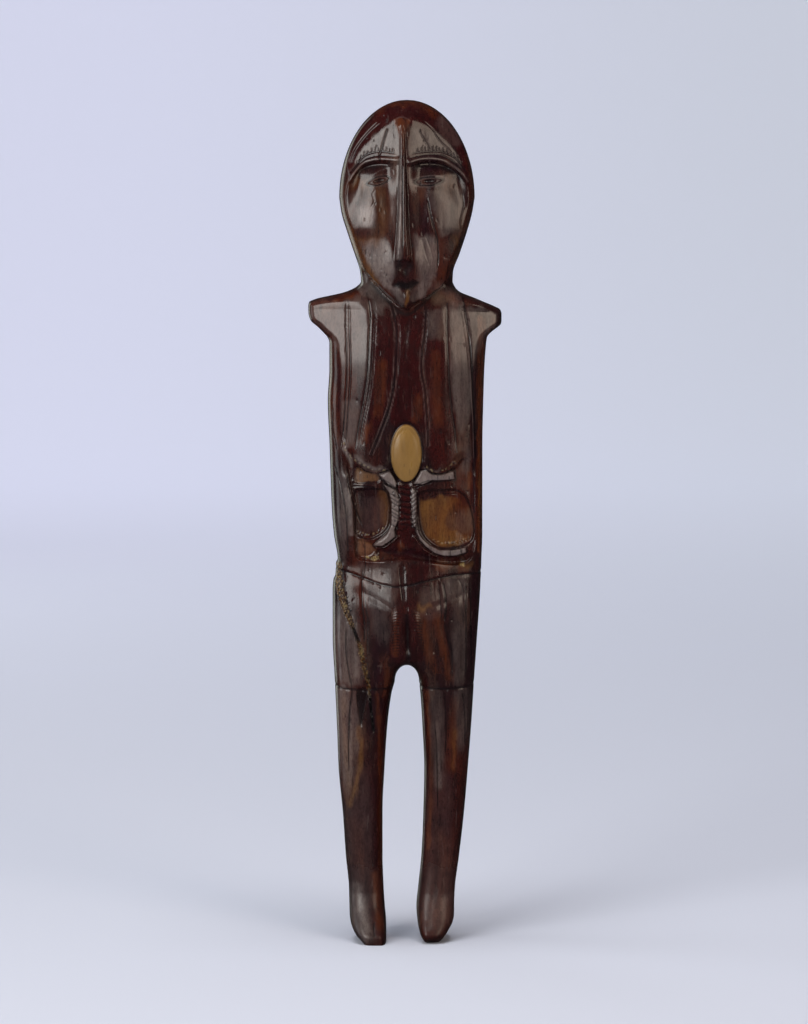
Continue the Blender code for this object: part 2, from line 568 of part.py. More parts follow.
def carved_sheets(reliefs):
    """Points of the front and the back sheet, as arrays of rows, each with a left and a right half."""
    levels = row_levels()
    sheets = []
    for which, (count, relief) in enumerate(zip((FRONT_COLUMNS, BACK_COLUMNS), reliefs)):
        u, w = sheet_points(levels, count)
        flat_u, flat_w = u.ravel(), w.ravel()
        depths = plain_depths(flat_u, flat_w)
        depth, from_edge = depths[which], np.minimum(depths[2], depths[3])
        depth = depth + relief(flat_u, flat_w) * ramp(0, 9, from_edge)
        side_line = curve_by_level(PROFILE, 3, flat_w)
        y = -side_line + (depth if which else -depth)
        points = np.stack([flat_u, y, flat_w], 1).reshape(*u.shape, 3)
        on_edge = np.zeros(u.shape, bool)
        on_edge[:, [0, -1]] = True
        half = u.shape[1] // 2
        on_edge[levels <= CROTCH, half - 1: half + 1] = True
        points[..., 1] = np.where(on_edge, -curve_by_level(PROFILE, 3, w), points[..., 1])
        sheets.append(points)
    return levels, sheets


def build_surface(reliefs):
    """One closed mesh: the two sheets joined along the side line and round the gap."""
    levels, (front, back) = carved_sheets(reliefs)
    mesh = bmesh.new()
    crotch_row = int(np.argmin(np.abs(levels - CROTCH)))

    def make_row(points, row, edges):
        half = len(points) // 2
        made = []
        for i, point in enumerate(points):
            key = None
            if i in (0, len(points) - 1):
                key = ("side", row, i > 0)
            elif i in (half - 1, half) and row < crotch_row:
                key = ("gap", row, i == half)
            elif i in (half - 1, half) and row == crotch_row:
                key = ("gap", row, False)
            elif i == half:
                made.append(made[-1])
                continue
            if key is not None and key in edges:
                made.append(edges[key])
                continue
            vertex = mesh.verts.new(point * MILLE)
            if key is not None:
                edges[key] = vertex
            made.append(vertex)
        return made

    edges = {}
    rows_front = [make_row(points, row, edges) for row, points in enumerate(front)]
    rows_back = [make_row(points, row, edges) for row, points in enumerate(back)]
    for rows, turn in ((rows_front, False), (rows_back, True)):
        half = len(rows[0]) // 2
        for low, high in zip(rows[:-1], rows[1:]):
            for i in range(len(low) - 1):
                if i == half - 1:
                    continue
                quad = [low[i], low[i + 1], high[i + 1], high[i]]
                mesh.faces.new(quad[::-1] if turn else quad)
    close_crown(mesh, rows_front[-1], rows_back[-1])
    close_soles(mesh, rows_front[0], rows_back[0])
    return mesh


def close_crown(mesh, front, back):
    """The last row round the crown closes on one point."""
    ring = list(dict.fromkeys(front)) + list(dict.fromkeys(back))[-2:0:-1]
    top = mesh.verts.new((CROWN["middle"] * MILLE, -PROFILE[0][3] * MILLE, HEIGHT))
    for a, b in zip(ring, ring[1:] + ring[:1]):
        mesh.faces.new((a, b, top))


def close_soles(mesh, front, back):
    """Each foot's lowest row is closed by one flat sole."""
    for part in (0, 1):
        halves = [row[: len(row) // 2] if part == 0 else row[len(row) // 2:] for row in (front, back)]
        mesh.faces.new(halves[0][::-1] + halves[1][1:-1])


def engrave_rings(data):
    """Cuts the lines that go round the body in along the surface's own normals."""
    points = np.empty(len(data.vertices) * 3, np.float32)
    normals = np.empty(len(data.vertices) * 3, np.float32)
    data.vertices.foreach_get("co", points)
    data.vertex_normals.foreach_get("vector", normals)
    points, normals = points.reshape(-1, 3).astype(float), normals.reshape(-1, 3)
    depth = ring_relief(points[:, 0] / MILLE, points[:, 2] / MILLE) * MILLE
    points += normals * depth[:, None] * np.array([1, 1, 0])
    data.vertices.foreach_set("co", points.astype(np.float32).ravel())
    data.update()


def centre_over_origin(data):
    """Moves the mesh so that the origin is the middle of the bounding box's underside."""
    points = np.empty(len(data.vertices) * 3, np.float32)
    data.vertices.foreach_get("co", points)
    points = points.reshape(-1, 3)
    middle = (points.min(0) + points.max(0)) / 2
    middle[2] = points[:, 2].min()
    data.vertices.foreach_set("co", (points - middle).ravel())
    data.update()


def ivory():
    """Dark brown ivory with a soft polish."""
    material = bpy.data.materials.new("ivory")
    material.use_nodes = True
    shader = material.node_tree.nodes["Principled BSDF"]
    shader.inputs["Base Color"].default_value = (0.075, 0.026, 0.014, 1)
    shader.inputs["Roughness"].default_value = 0.35
    shader.inputs["Metallic"].default_value = 0.0
    return material


def build_figure():
    surface = build_surface((front_relief, back_relief))
    data = bpy.data.meshes.new("figure")
    surface.to_mesh(data)
    surface.free()
    engrave_rings(data)
    centre_over_origin(data)
    data.shade_smooth()
    figure = bpy.data.objects.new("figure", data)
    bpy.context.scene.collection.objects.link(figure)
    data.materials.append(ivory())
    triangles = sum(len(face.vertices) - 2 for face in data.polygons)
    reduce = figure.modifiers.new("Reduce", "DECIMATE")
    reduce.ratio = min(1.0, SOLID_TRIANGLES / triangles)
    reduce.use_collapse_triangulate = True
    return figure


def main():
    for old in list(bpy.data.objects):
        bpy.data.objects.remove(old)
    build_figure()


main()
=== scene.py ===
"""Walrus ivory figure: the carving's fine surface, its patina and a plain studio.

The carving is drawn in its front view, in thousandths of its height. There u runs to the viewer's
right from the middle, w runs up from the soles, and a depth is measured from the side line, where
the front and back surfaces meet. The figure faces -Y and stands on its soles at z = 0.
"""

import bmesh
import bpy
import numpy as np
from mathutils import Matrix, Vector


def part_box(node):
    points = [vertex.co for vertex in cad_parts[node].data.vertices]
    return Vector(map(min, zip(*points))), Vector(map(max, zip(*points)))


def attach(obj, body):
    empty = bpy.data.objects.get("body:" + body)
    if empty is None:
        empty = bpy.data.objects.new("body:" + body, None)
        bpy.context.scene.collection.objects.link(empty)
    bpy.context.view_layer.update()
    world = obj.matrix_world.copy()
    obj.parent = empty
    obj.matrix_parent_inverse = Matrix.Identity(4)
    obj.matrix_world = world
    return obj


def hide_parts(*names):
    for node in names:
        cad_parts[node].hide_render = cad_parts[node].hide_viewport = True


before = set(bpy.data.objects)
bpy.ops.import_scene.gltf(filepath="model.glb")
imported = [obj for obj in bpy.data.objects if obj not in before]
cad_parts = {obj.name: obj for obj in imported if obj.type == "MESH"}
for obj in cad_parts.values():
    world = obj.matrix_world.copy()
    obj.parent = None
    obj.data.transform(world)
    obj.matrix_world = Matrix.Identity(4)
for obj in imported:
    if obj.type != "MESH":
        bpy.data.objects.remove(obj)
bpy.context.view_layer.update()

# Sizes in metres; the height is the solid's own
LOW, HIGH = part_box("figure")
HEIGHT = HIGH.z - LOW.z
PAIRED_LINE_WIDTH = 0.0019
PAIRED_LINE_DEPTH = 0.00008
BELLY_RECESS_DEPTH = 0.0016
FISSURE_WIDTH = 0.0016

# Fineness of the carved surface before it is reduced to the piece's own faces
COARSER = 1.0
FRONT_COLUMNS = 2 * int(100 / COARSER)
BACK_COLUMNS = 2 * int(32 / COARSER)
ROW_STEP = 1.7 * COARSER
FINE_ROW_STEP = 0.9 * COARSER
FINE_ROWS = [(0, 30), (325, 640), (740, 985)]
SURFACE_TRIANGLES = 196000
CRISP_CHANGE = 0.16

MILLE = HEIGHT / 1000

# The head above its widest level is half an ellipse
CROWN = {"level": 885, "middle": 2.4, "half_width": 80.0, "rise": 115.0}

# Level, left side and right side of the body below the widest level of the head
SIDES = [
    (885, -77.6, 82.4), (868, -75.2, 79.6), (844, -68, 73), (820, -60, 65), (797, -53, 57),
    (786, -52, 56.5), (780, -57, 59), (776, -64, 62), (772, -75, 68), (768.5, -91, 77),
    (765, -106, 86), (761.5, -113.5, 94), (757, -114.4, 105), (753, -114.4, 112.5),
    (748, -114.2, 114.4), (740, -111.5, 114.4), (736.5, -108, 114), (733, -103.5, 110.5),
    (726, -96.5, 101.5), (721, -92, 97.5), (714, -89.5, 96.4), (683, -89.5, 94.2),
    (645, -91.5, 93), (594, -89.5, 92), (520, -87, 92), (487, -84.5, 92), (457, -80, 91),
    (451, -82.2, 90.8), (438, -82.6, 90.4), (432, -85, 90), (419, -86, 89.5), (367, -86, 86),
    (314, -83.5, 82.4), (260, -81, 79), (207, -79, 75), (153, -74, 70.5), (100, -70.5, 64.6),
    (64, -67, 60), (45, -66.5, 59), (30, -66, 58.8), (23, -65, 57.5), (14, -62, 53), (6, -57, 48),
    (2, -53, 45), (0, -51, 43),
]

# The gap between the legs: a round arch on top, then its left and right edge by level
ARCH = {"level": 311, "middle": 2.4, "half_width": 14.4, "rise": 20.0}
GAP_SIDES = [
    (311, -12, 16.8), (296, -16, 18.4), (260, -20.7, 20.7), (207, -24.3, 23), (153, -26.7, 22),
    (100, -26.7, 19.6), (64, -25.5, 16), (39, -24, 13.7), (23, -22.5, 15), (10, -22.3, 17.7),
    (3, -22.3, 20.5), (0, -22.3, 22),
]
CROTCH = ARCH["level"] + ARCH["rise"]

# Level, depth in front of the side line, depth behind it, and how far forward the side line lies
PROFILE = [
    (1000, 40, 42, 2), (960, 38, 53, 2), (900, 40, 58, 2), (850, 38, 55, 2), (800, 30, 44, 1),
    (785, 34, 40, 0), (757, 45, 38, 0), (735, 50, 40, 0), (710, 54.5, 43, 0), (690, 55.5, 43, 0),
    (640, 54.5, 43, 0), (600, 53, 42, 0), (550, 51.5, 41, 0), (500, 50.5, 43, 0), (456, 49, 47, 0),
    (425, 52, 50, 0), (400, 54, 50, 0), (375, 52.5, 50, 0), (331, 46, 46, 1), (300, 42, 42, 2),
    (250, 37, 38, 3), (200, 34, 36, 3), (150, 31, 34, 1), (100, 29, 32, -1), (60, 28, 31, -2),
    (45, 31, 31, -1), (30, 38, 31, 0), (18, 47, 31, 0), (8, 53, 30, 0), (0, 52, 29, 0),
]
HEAD_PROFILE = [(1000, 46), (960, 54), (900, 60), (850, 63), (800, 63), (770, 60), (700, 52)]

# The planes of the face: level, depth of the flat middle, fall beside it, and the middle's half width
FACE_PLANES = [
    (1000, 40, 0.28, 12), (978, 45, 0.27, 11), (965, 47.5, 0.27, 6), (945, 50.5, 0.26, 3.5),
    (928, 53, 0.25, 8), (910, 54, 0.24, 36), (885, 55, 0.26, 31), (852, 57.4, 0.27, 25.5),
    (836, 58.6, 0.27, 18), (800, 60.4, 0.27, 9), (770, 59, 0.36, 4), (700, 50, 0.40, 4),
]
FACE_MIDDLE = -1.5
HEAD_LOWEST = 700

# The hood's edge round the face, and how steeply the hood falls outside it
FACE_FIELD = [
    (-4, 979), (-23, 968), (-41, 953), (-55, 937), (-64, 915), (-70, 890), (-72, 866), (-66, 838), (-57, 812),
    (-50, 780), (-40, 745), (0, 730), (45, 745), (58, 790), (66, 825), (74, 855), (76, 885), (70, 915),
    (61, 937), (44, 957), (22, 971),
]
HOOD_FALL = 0.50

# How much of the profile's depth the right foot's front has, by level: its toe rounds up from the ground
RIGHT_FOOT_REACH = [(0, 0.60), (3, 0.72), (7, 0.84), (12, 0.88), (60, 1.0)]

# Level and how far in from the side line the surface is rounded, on the body and at the gap
ROUNDING = [
    (1000, 56), (870, 48), (820, 38), (795, 26), (780, 12), (760, 9), (735, 10), (712, 17),
    (650, 22), (456, 22), (400, 25), (331, 27), (250, 28), (100, 26), (40, 24), (15, 18), (0, 11),
]
BACK_ROUNDING = [
    (1000, 62), (870, 62), (820, 52), (790, 34), (760, 12), (735, 13), (700, 30), (400, 34),
    (331, 30), (250, 28), (100, 26), (40, 20), (15, 12), (0, 9),
]
GAP_ROUNDING = [(340, 20), (300, 24), (250, 27), (100, 26), (40, 19), (15, 11), (0, 7)]
JAW_ROUNDING = 15
EDGE_FULLNESS = 3.0

# The front's flat middle by level: its half width, and how steeply the planes beside it fall
FRONT_PLANES = [
    (1000, 44, 0.26), (640, 44, 0.26), (560, 49, 0.25), (470, 54, 0.24), (450, 20, 0.20), (400, 14, 0.20),
    (335, 20, 0.08), (300, 40, 0.0), (0, 40, 0.0),
]

# The jaw's edge, from the left temple round the chin to the right temple
JAW = [
    (-72, 850), (-62, 826), (-51, 803), (-34, 782), (-15, 762), (1, 751), (16, 760), (35, 773),
    (53, 791), (63, 810), (69, 828), (78, 850),
]

# Features of the face
BROWS = [
    [(-65, 906), (-58, 917.5), (-49.5, 926), (-39.5, 930), (-28, 931.3), (-8, 930)],
    [(5, 927.5), (17, 931), (30, 932), (43.5, 930), (53.5, 925), (66, 916), (74, 905)],
]
SOCKET_DEPTH = 6.0
EYES = [((-31, 905.5), 13.5, 4.6, 15), ((28, 905), 16, 4.8, 4)]
NOSE_LEVELS = [
    (972, 2.0, 0), (960, 3.0, 2.0), (926, 4.0, 4.0), (884, 5.4, 6.5), (843, 7.4, 9.5), (826, 9.0, 12.0),
    (812, 10.5, 11.5),
]
NOSE_LINE = [(972, -3.5), (926, -2.5), (884, -2.2), (843, -2.4), (812, -2)]
NOSE_TIP = 813
CHEEKS = [(-46, 862, 26, 30, 1.6), (48, 862, 26, 36, 1.4)]
CHEEK_HOLLOWS = [(-21, 868, 10, 36, 2.4), (21, 864, 11, 38, 2.4)]
MOUTH = [(-13, 784), (-5, 789), (2, 787), (9, 790), (17, 787), (9, 780), (2, 778), (-5, 780)]
LIP_HOLLOW = (2, 803, 8, 9, 1.8)
CHIN_RIDGE = [(1, 779), (1, 770), (1, 760)]

# Paired lines cut down the chest
CHEST_LINES = [
    [(-67, 768), (-67, 729), (-66, 682), (-68, 646), (-71, 610), (-73, 589)],
    [(-43, 774), (-39, 751), (-40, 718), (-42, 682), (-46, 652), (-53, 616), (-56, 591)],
    [(-16, 760), (-10, 735), (-10, 706), (-12, 676), (-17, 646), (-28, 614), (-40, 584)],
    [(25, 754), (23, 727), (19.5, 700), (19.5, 683), (23, 663), (25, 640), (27, 612), (27, 594)],
    [(49.5, 762), (49.5, 729), (51, 694), (52.5, 664), (55.5, 634), (59, 610), (61, 587)],
    [(67, 769), (71.5, 741), (75.5, 712), (78, 682), (79.5, 652), (81.5, 622), (82.5, 580)],
]

# The small being carved on the belly, and the recesses that set it free
BELLY_FIELD = [
    (-67, 584), (-61, 573), (-51.7, 567.6), (-43.6, 564.2), (-37.4, 562.6), (-29.3, 563.5), (-19, 566),
    (1, 570), (18, 566.5), (24.3, 565.5), (32.4, 562), (42.6, 561.8), (51.8, 564.5), (60, 570),
    (68, 579), (78, 574), (83, 555), (84, 520), (85, 492), (82, 472), (76, 458), (60, 453.5),
    (30, 456.5), (0, 460), (-30, 457.5), (-45, 458), (-57, 462), (-60, 485), (-60, 505), (-61, 525),
    (-64, 545), (-67, 565),
]
BREAST_BEVEL = 2.2
HEAD_OVAL = {"middle": (1.5, 586), "half_width": 18.5, "half_height": 34.5, "rise": 6.0}
POCKETS = [
    ([(-57.5, 566), (-49, 566.5), (-41.5, 563), (-32, 561.5), (-30.5, 551.5), (-41.5, 550),
      (-58, 550.5)], 1.4),
    ([(-57, 481), (-48, 481.5), (-40, 478.5), (-35, 472.5), (-38, 466), (-45, 463), (-56, 465)], 1.2),
]
SCOOPS = [
    [(-59.5, 541), (-45, 543.8), (-27, 543.5), (-20, 538), (-17.2, 526), (-17.4, 512), (-19, 500),
     (-24.5, 492), (-32, 486.5), (-41, 483), (-52, 485), (-58.5, 491), (-59.5, 505), (-58, 522)],
    [(14.8, 537), (24, 541.5), (44, 543), (62, 542), (73, 533), (79, 517), (82, 500), (81, 485),
     (73, 476.5), (56, 473), (41, 472.5), (29, 479), (20, 490), (16, 508), (14.4, 524)],
]
SCOOP_DEPTH = 4.5
TRUNK = [
    (-8, 553), (9, 553), (8.5, 535), (8, 520), (10, 503), (2, 498), (-7, 494), (-9, 502), (-7, 520),
    (-8, 538),
]
TRUNK_DROP = 3.4
PLATES = [
    ([(-31.3, 560.2), (-24, 563), (-18, 564.5), (-13, 557.5), (-9.4, 550), (-10.9, 543.5),
      (-20, 548.6)], -1.2, 0.10),
    ([(-25.4, 548.8), (-18, 546.8), (-10.4, 543.4), (-7.3, 534.2), (-6.8, 524), (-7.6, 508.6),
      (-9.4, 502.4), (-12.5, 494.2), (-11.2, 487), (-19, 480.5), (-27.2, 475.2), (-37.4, 476.3),
      (-29.3, 484), (-21.1, 491.2), (-16.7, 500.4), (-16, 513.7), (-16, 528.1), (-18.6, 538.3)], -1.6, 0.07),
    ([(10, 549.5), (14, 557), (18.5, 565), (25, 566), (31.5, 561), (42.6, 560.3), (57.6, 564.8), (59, 554.7),
      (39.6, 553.4), (31.4, 553.6), (21, 548.5)], -2.2, 0.0),
    ([(7.6, 546), (13.4, 541), (13.9, 524), (13.6, 506), (14.2, 497), (9.6, 499), (8.4, 512),
      (7.6, 530)], -2.2, 0.0),
    ([(14, 500), (17, 491), (21, 484.5), (29, 477), (41, 470.9), (56, 470.9), (72.2, 474), (72.4, 468),
      (61, 464), (45.7, 464), (35.5, 467), (25.3, 474.3), (17.1, 483.4), (13.2, 493)], -1.4, 0.0),
]
LEG_STRANDS = [
    [(-34, 473.6), (-25, 473.8), (-17, 479), (-8, 486.5)],
    [(11, 486.5), (16.5, 478), (26, 469), (38, 462.5)],
]
LOWER_SHADOW = [(-30, 468), (0, 467), (24, 461.5), (48, 458), (64, 458.5)]

# Lines that go round the body
BELT = [(-88, 449), (-65, 443), (-43, 435), (-23, 429), (-3, 428), (24, 434), (54, 440), (95, 443)]
GARTERS = [
    [(-90, 309), (-59, 305), (-15, 306)],
    [(10, 308), (50, 306), (92, 311)],
]

# The front seam, the groin and the lobes beside the cleft
SEAM = [(-4, 456), (-3, 432), (-1, 408)]
GROIN_LINES = [
    [(-62, 428), (-50, 420), (-35, 413), (-15, 401), (-8, 396)],
    [(80, 423), (54, 411), (28, 402), (9, 396)],
]
LOBES = [
    ([(-5, 402), (-8, 388), (-9, 366), (-7.5, 346)], 8.5),
    ([(9, 399), (13, 386), (15.5, 366), (18, 348)], 8.0),
]
CLEFT = [(2, 394), (3, 366), (4, 340)]
HIP_LINES = [
    [(-50, 439), (-50, 408), (-46, 360), (-43, 334)],
    [(39, 437), (41, 408), (43, 382), (52, 348), (54, 315)],
    [(68, 441), (68, 396), (69, 348), (68, 313)],
]

# The long age crack down the hip
FISSURE = [
    (-80, 454), (-78, 432), (-72, 406), (-65, 388), (-58, 370), (-52, 352), (-48, 332), (-43, 308),
    (-40, 280), (-37, 255),
]
FISSURE_OPENING = [
    (0, 0.95), (0.20, 0.85), (0.33, 0.50), (0.39, 0.25), (0.45, 0.25), (0.52, 0.42), (0.68, 0.36),
    (0.76, 0.22), (1, 0.12),
]
FISSURE_DEPTH = 5.0

# The back, which is plainer
SPINE = [(2, 745), (1, 640), (1, 540), (2, 470)]
BUTTOCK_CLEFT = [(2, 432), (3, 390), (3, 340)]
BUTTOCKS = [(-38, 385, 34, 46, 4.0), (40, 385, 34, 46, 4.0)]
BACK_LINES = [
    [(-52, 752), (-48, 690), (-50, 620), (-58, 540), (-62, 470)],
    [(54, 752), (50, 690), (52, 620), (60, 540), (64, 470)],
]
NAPE_LINE = [(-60, 812), (-30, 800), (2, 796), (34, 800), (64, 812)]


def ramp(low, high, value):
    """0 below low, 1 above high and a smooth rise between."""
    t = np.clip((value - low) / (high - low), 0, 1)
    return t * t * (3 - 2 * t)


def curve_by_level(table, column, level):
    """A monotone cubic through one column of a table whose first column is the level."""
    rows = sorted(table)
    known = np.array([row[0] for row in rows], float)
    value = np.array([row[column] for row in rows], float)
    step = np.diff(known)
    slope = np.diff(value) / step
    tangent = np.zeros(len(known))
    same_way = slope[:-1] * slope[1:] > 0
    safe = np.where(same_way, slope[:-1] * slope[1:], 1)
    tangent[1:-1] = np.where(same_way, 2 * safe / np.where(same_way, slope[:-1] + slope[1:], 1), 0)
    tangent[0], tangent[-1] = slope[0], slope[-1]
    level = np.clip(level, known[0], known[-1])
    i = np.clip(np.searchsorted(known, level, side="right") - 1, 0, len(step) - 1)
    t = (level - known[i]) / step[i]
    return (
        value[i] * (1 + 2 * t) * (1 - t) ** 2
        + tangent[i] * step[i] * t * (1 - t) ** 2
        + value[i + 1] * t * t * (3 - 2 * t)
        + tangent[i + 1] * step[i] * t * t * (t - 1)
    )


def look_up(table, value):
    """A straight-line look-up in a table of pairs."""
    return np.interp(value, *zip(*table))


def side(level, which):
    """The left (1) or right (2) side of the figure at a level."""
    level = np.asarray(level, float)
    rise = np.clip((level - CROWN["level"]) / CROWN["rise"], 0, 1)
    crown = CROWN["half_width"] * np.sqrt(1 - rise ** 2)
    crown = CROWN["middle"] + (crown if which == 2 else -crown)
    return np.where(level > CROWN["level"], crown, curve_by_level(SIDES, which, level))


def gap_side(level, which):
    """The left (1) or right (2) edge of the gap between the legs at a level."""
    level = np.asarray(level, float)
    rise = np.clip((level - ARCH["level"]) / ARCH["rise"], 0, 1)
    arch = ARCH["half_width"] * np.sqrt(1 - rise ** 2)
    arch = ARCH["middle"] + (arch if which == 2 else -arch)
    return np.where(level > ARCH["level"], arch, curve_by_level(GAP_SIDES, which, level))


def smooth_line(points, closed=False, parts=6):
    """A Catmull-Rom curve through the points."""
    p = np.array(points, float)
    count = len(p)
    out = []
    for i in range(count if closed else count - 1):
        if closed:
            a, b, c, d = (p[(i + k) % count] for k in (-1, 0, 1, 2))
        else:
            a, b, c, d = (p[min(max(i + k, 0), count - 1)] for k in (-1, 0, 1, 2))
        for t in np.arange(parts) / parts:
            square, cube = 2 * a - 5 * b + 4 * c - d, 3 * b - a - 3 * c + d
            out.append(0.5 * (2 * b + (c - a) * t + square * t ** 2 + cube * t ** 3))
    out.append(p[0] if closed else p[-1])
    return np.array(out)


def distance_to_line(u, w, line, reach=1e9):
    """Distance to a polyline and the share of its length there, for the points within reach of it."""
    distance = np.full(u.shape, 1e9)
    share = np.zeros(u.shape)
    low, high = line.min(0) - reach, line.max(0) + reach
    near = np.where((u >= low[0]) & (u <= high[0]) & (w >= low[1]) & (w <= high[1]))[0]
    if not len(near):
        return distance, share
    pu, pw = u[near], w[near]
    best, along = np.full(len(near), 1e9), np.zeros(len(near))
    lengths = np.hypot(*np.diff(line, axis=0).T)
    total, done = lengths.sum(), 0.0
    for (au, aw), (bu, bw), length in zip(line[:-1], line[1:], lengths):
        t = np.clip(((pu - au) * (bu - au) + (pw - aw) * (bw - aw)) / max(length ** 2, 1e-12), 0, 1)
        d = np.hypot(pu - au - t * (bu - au), pw - aw - t * (bw - aw))
        closer = d < best
        best = np.where(closer, d, best)
        along = np.where(closer, (done + t * length) / total, along)
        done += length
    distance[near], share[near] = best, along
    return distance, share


def depth_inside(u, w, loop, reach=1e9):
    """Distance inside a closed line, negative outside it."""
    distance, _ = distance_to_line(u, w, loop, reach)
    inside = np.zeros(u.shape, bool)
    for (au, aw), (bu, bw) in zip(loop[:-1], loop[1:]):
        if aw == bw:
            continue
        crosses = (aw > w) != (bw > w)
        inside ^= crosses & (u < au + (w - aw) * (bu - au) / (bw - aw))
    return np.where(inside, distance, -distance)


def rounded(share):
    """The rise of a rounded edge, from 0 on the side line to 1 where the flat begins."""
    share = np.clip(share, 0, 1)
    return (1 - (1 - share) ** EDGE_FULLNESS) ** (1 / EDGE_FULLNESS)


def soft_max(a, b, blend):
    """The larger of two surfaces, with the crease between them eased."""
    h = np.clip(0.5 + 0.5 * (a - b) / blend, 0, 1)
    return b + (a - b) * h + blend * h * (1 - h)


def bell(value, middle, width):
    """1 at the middle, falling off to both sides."""
    return np.exp(-(((value - middle) / width) ** 2))


def oval_radius(u, w, oval):
    """0 in an oval's middle and 1 on its edge."""
    mu, mw = oval["middle"]
    return np.hypot((u - mu) / oval["half_width"], (w - mw) / oval["half_height"])


def turned(u, w, middle, tilt):
    """Distances from a middle, along and across an axis tilted by so many degrees."""
    mu, mw = middle
    c, s = np.cos(np.radians(tilt)), np.sin(np.radians(tilt))
    return (u - mu) * c + (w - mw) * s, -(u - mu) * s + (w - mw) * c


def under_line(u, w, points, fade):
    """How far below a brow's line each point lies, and 1 between the line's ends."""
    line = smooth_line(points)
    below = np.interp(u, line[:, 0], line[:, 1]) - w
    return below, ramp(-3, fade, u - line[0, 0]) * ramp(-3, fade, line[-1, 0] - u)


def ring_trace(u, w, points, width):
    """1 on a line that goes round the body, falling off above and below it."""
    line = smooth_line(points)
    within = (u >= line[0, 0]) & (u <= line[-1, 0])
    return np.where(within, bell(w, np.interp(u, line[:, 0], line[:, 1]), width), 0)


def mound(u, w, place):
    """A low rounded swelling: middle, half width, half height and rise."""
    mu, mw, half_width, half_height, rise = place
    return rise * np.exp(-(((u - mu) / half_width) ** 2) - ((w - mw) / half_height) ** 2)


def groove(u, w, points, width, depth, taper=0.08):
    """A rounded groove along a line, which runs out at both ends."""
    line = smooth_line(points)
    d, share = distance_to_line(u, w, line, 2 * width)
    ends = ramp(0, taper, share) * ramp(0, taper, 1 - share) if taper else 1
    return -depth * ends * np.exp(-((2 * d / width) ** 2))


def band(u, w, points, half_width, edge):
    """1 along a line to half_width and 0 beyond it."""
    d, _ = distance_to_line(u, w, smooth_line(points), half_width + 2 * edge)
    return 1 - ramp(half_width - edge, half_width + edge, d)


def nose_relief(u, w):
    """A long ridge from the forehead that widens and rises to a square-cut tip."""
    middle = curve_by_level(NOSE_LINE, 1, w)
    half = curve_by_level(NOSE_LEVELS, 1, w)
    rise = curve_by_level(NOSE_LEVELS, 2, w)
    across = np.clip(np.abs(u - middle) / half, 0, 1)
    ridge = rise * (1 - 0.10 * across) * (1 - ramp(0.62, 1.0, across))
    return ridge * ramp(NOSE_TIP - 2.5, NOSE_TIP + 1.5, w) * (w < NOSE_LEVELS[0][0])


def face_relief(u, w):
    """Brows over sunk sockets, slit eyes, nose, cheeks, mouth and chin."""
    out = np.zeros(u.shape)
    for points in BROWS:
        below, ends = under_line(u, w, points, 14)
        out -= SOCKET_DEPTH * ends * ramp(1, 7, below) * (1 - ramp(14, 50, below))
        out += 1.4 * band(u, w, points, 2.5, 3.0)
    for middle, half_long, half_high, tilt in EYES:
        along, across = turned(u, w, middle, tilt)
        a = along / half_long
        b = across / (half_high * np.clip(1 - a * a, 0.05, 1))
        r = np.hypot(a, b)
        out += 1.2 * (1 - ramp(0.85, 1.35, r)) - 1.2 * (1 - ramp(0.15, 0.6, r))
        out -= 0.8 * bell(r, 1.0, 0.16)
    for place in CHEEKS:
        out += mound(u, w, place)
    for place in CHEEK_HOLLOWS:
        out -= mound(u, w, place)
    mouth = depth_inside(u, w, smooth_line(MOUTH, closed=True), 12)
    out -= 0.5 * ramp(-5, 3, mouth)
    out += 2.4 * band(u, w, CHIN_RIDGE, 0.6, 4.5) * ramp(780, 768, w)
    return out - mound(u, w, LIP_HOLLOW) + nose_relief(u, w)


def belly_relief(u, w):
    """The recessed belly with the small being in it: oval head, trunk, arms and legs."""
    recess = BELLY_RECESS_DEPTH / MILLE
    field = depth_inside(u, w, smooth_line(BELLY_FIELD, closed=True), 20)
    out = -recess * ramp(-1.2, 2.0, field) * ramp(87, 76, u)
    out -= BREAST_BEVEL * ramp(-9, 0, field) * (1 - ramp(0, 1.5, field)) * ramp(556, 566, w)
    for loop, deeper in POCKETS:
        out -= deeper * ramp(-1.0, 1.2, depth_inside(u, w, smooth_line(loop, closed=True), 12))
    for loop in SCOOPS:
        scoop = depth_inside(u, w, smooth_line(loop, closed=True), 40)
        out -= SCOOP_DEPTH * ramp(-0.8, 2.6, scoop) * (0.55 + 0.45 * ramp(0, 22, scoop))
    trunk = ramp(-0.8, 0.8, depth_inside(u, w, smooth_line(TRUNK, closed=True), 12))
    out = soft_max(out, -14 + (14 - TRUNK_DROP) * trunk, 0.6)
    for points in LEG_STRANDS:
        out = soft_max(out, -14 + 11.2 * band(u, w, points, 1.3, 0.8), 0.5)
    for points, height, tilt in PLATES:
        shape = np.array(points + points[:1], float)
        plate = ramp(-0.8, 0.8, depth_inside(u, w, shape, 12))
        top = height + tilt * (u - shape[:, 0].mean())
        out = soft_max(out, -14 + (14 + top) * plate, 0.5)
    out -= 3.4 * bell(distance_to_line(u, w, smooth_line(LOWER_SHADOW), 20)[0], 0, 4.6)
    r = oval_radius(u, w, HEAD_OVAL)
    # A narrow moat makes the oval stand out on the chest side too
    out -= 1.8 * ramp(0.92, 1.0, r) * (1 - ramp(1.04, 1.2, r))
    dome = HEAD_OVAL["rise"] * np.sqrt(np.clip(1 - r ** 2, 0, 1)) - 3.6
    return np.where(r < 1, np.maximum(out, dome), out)


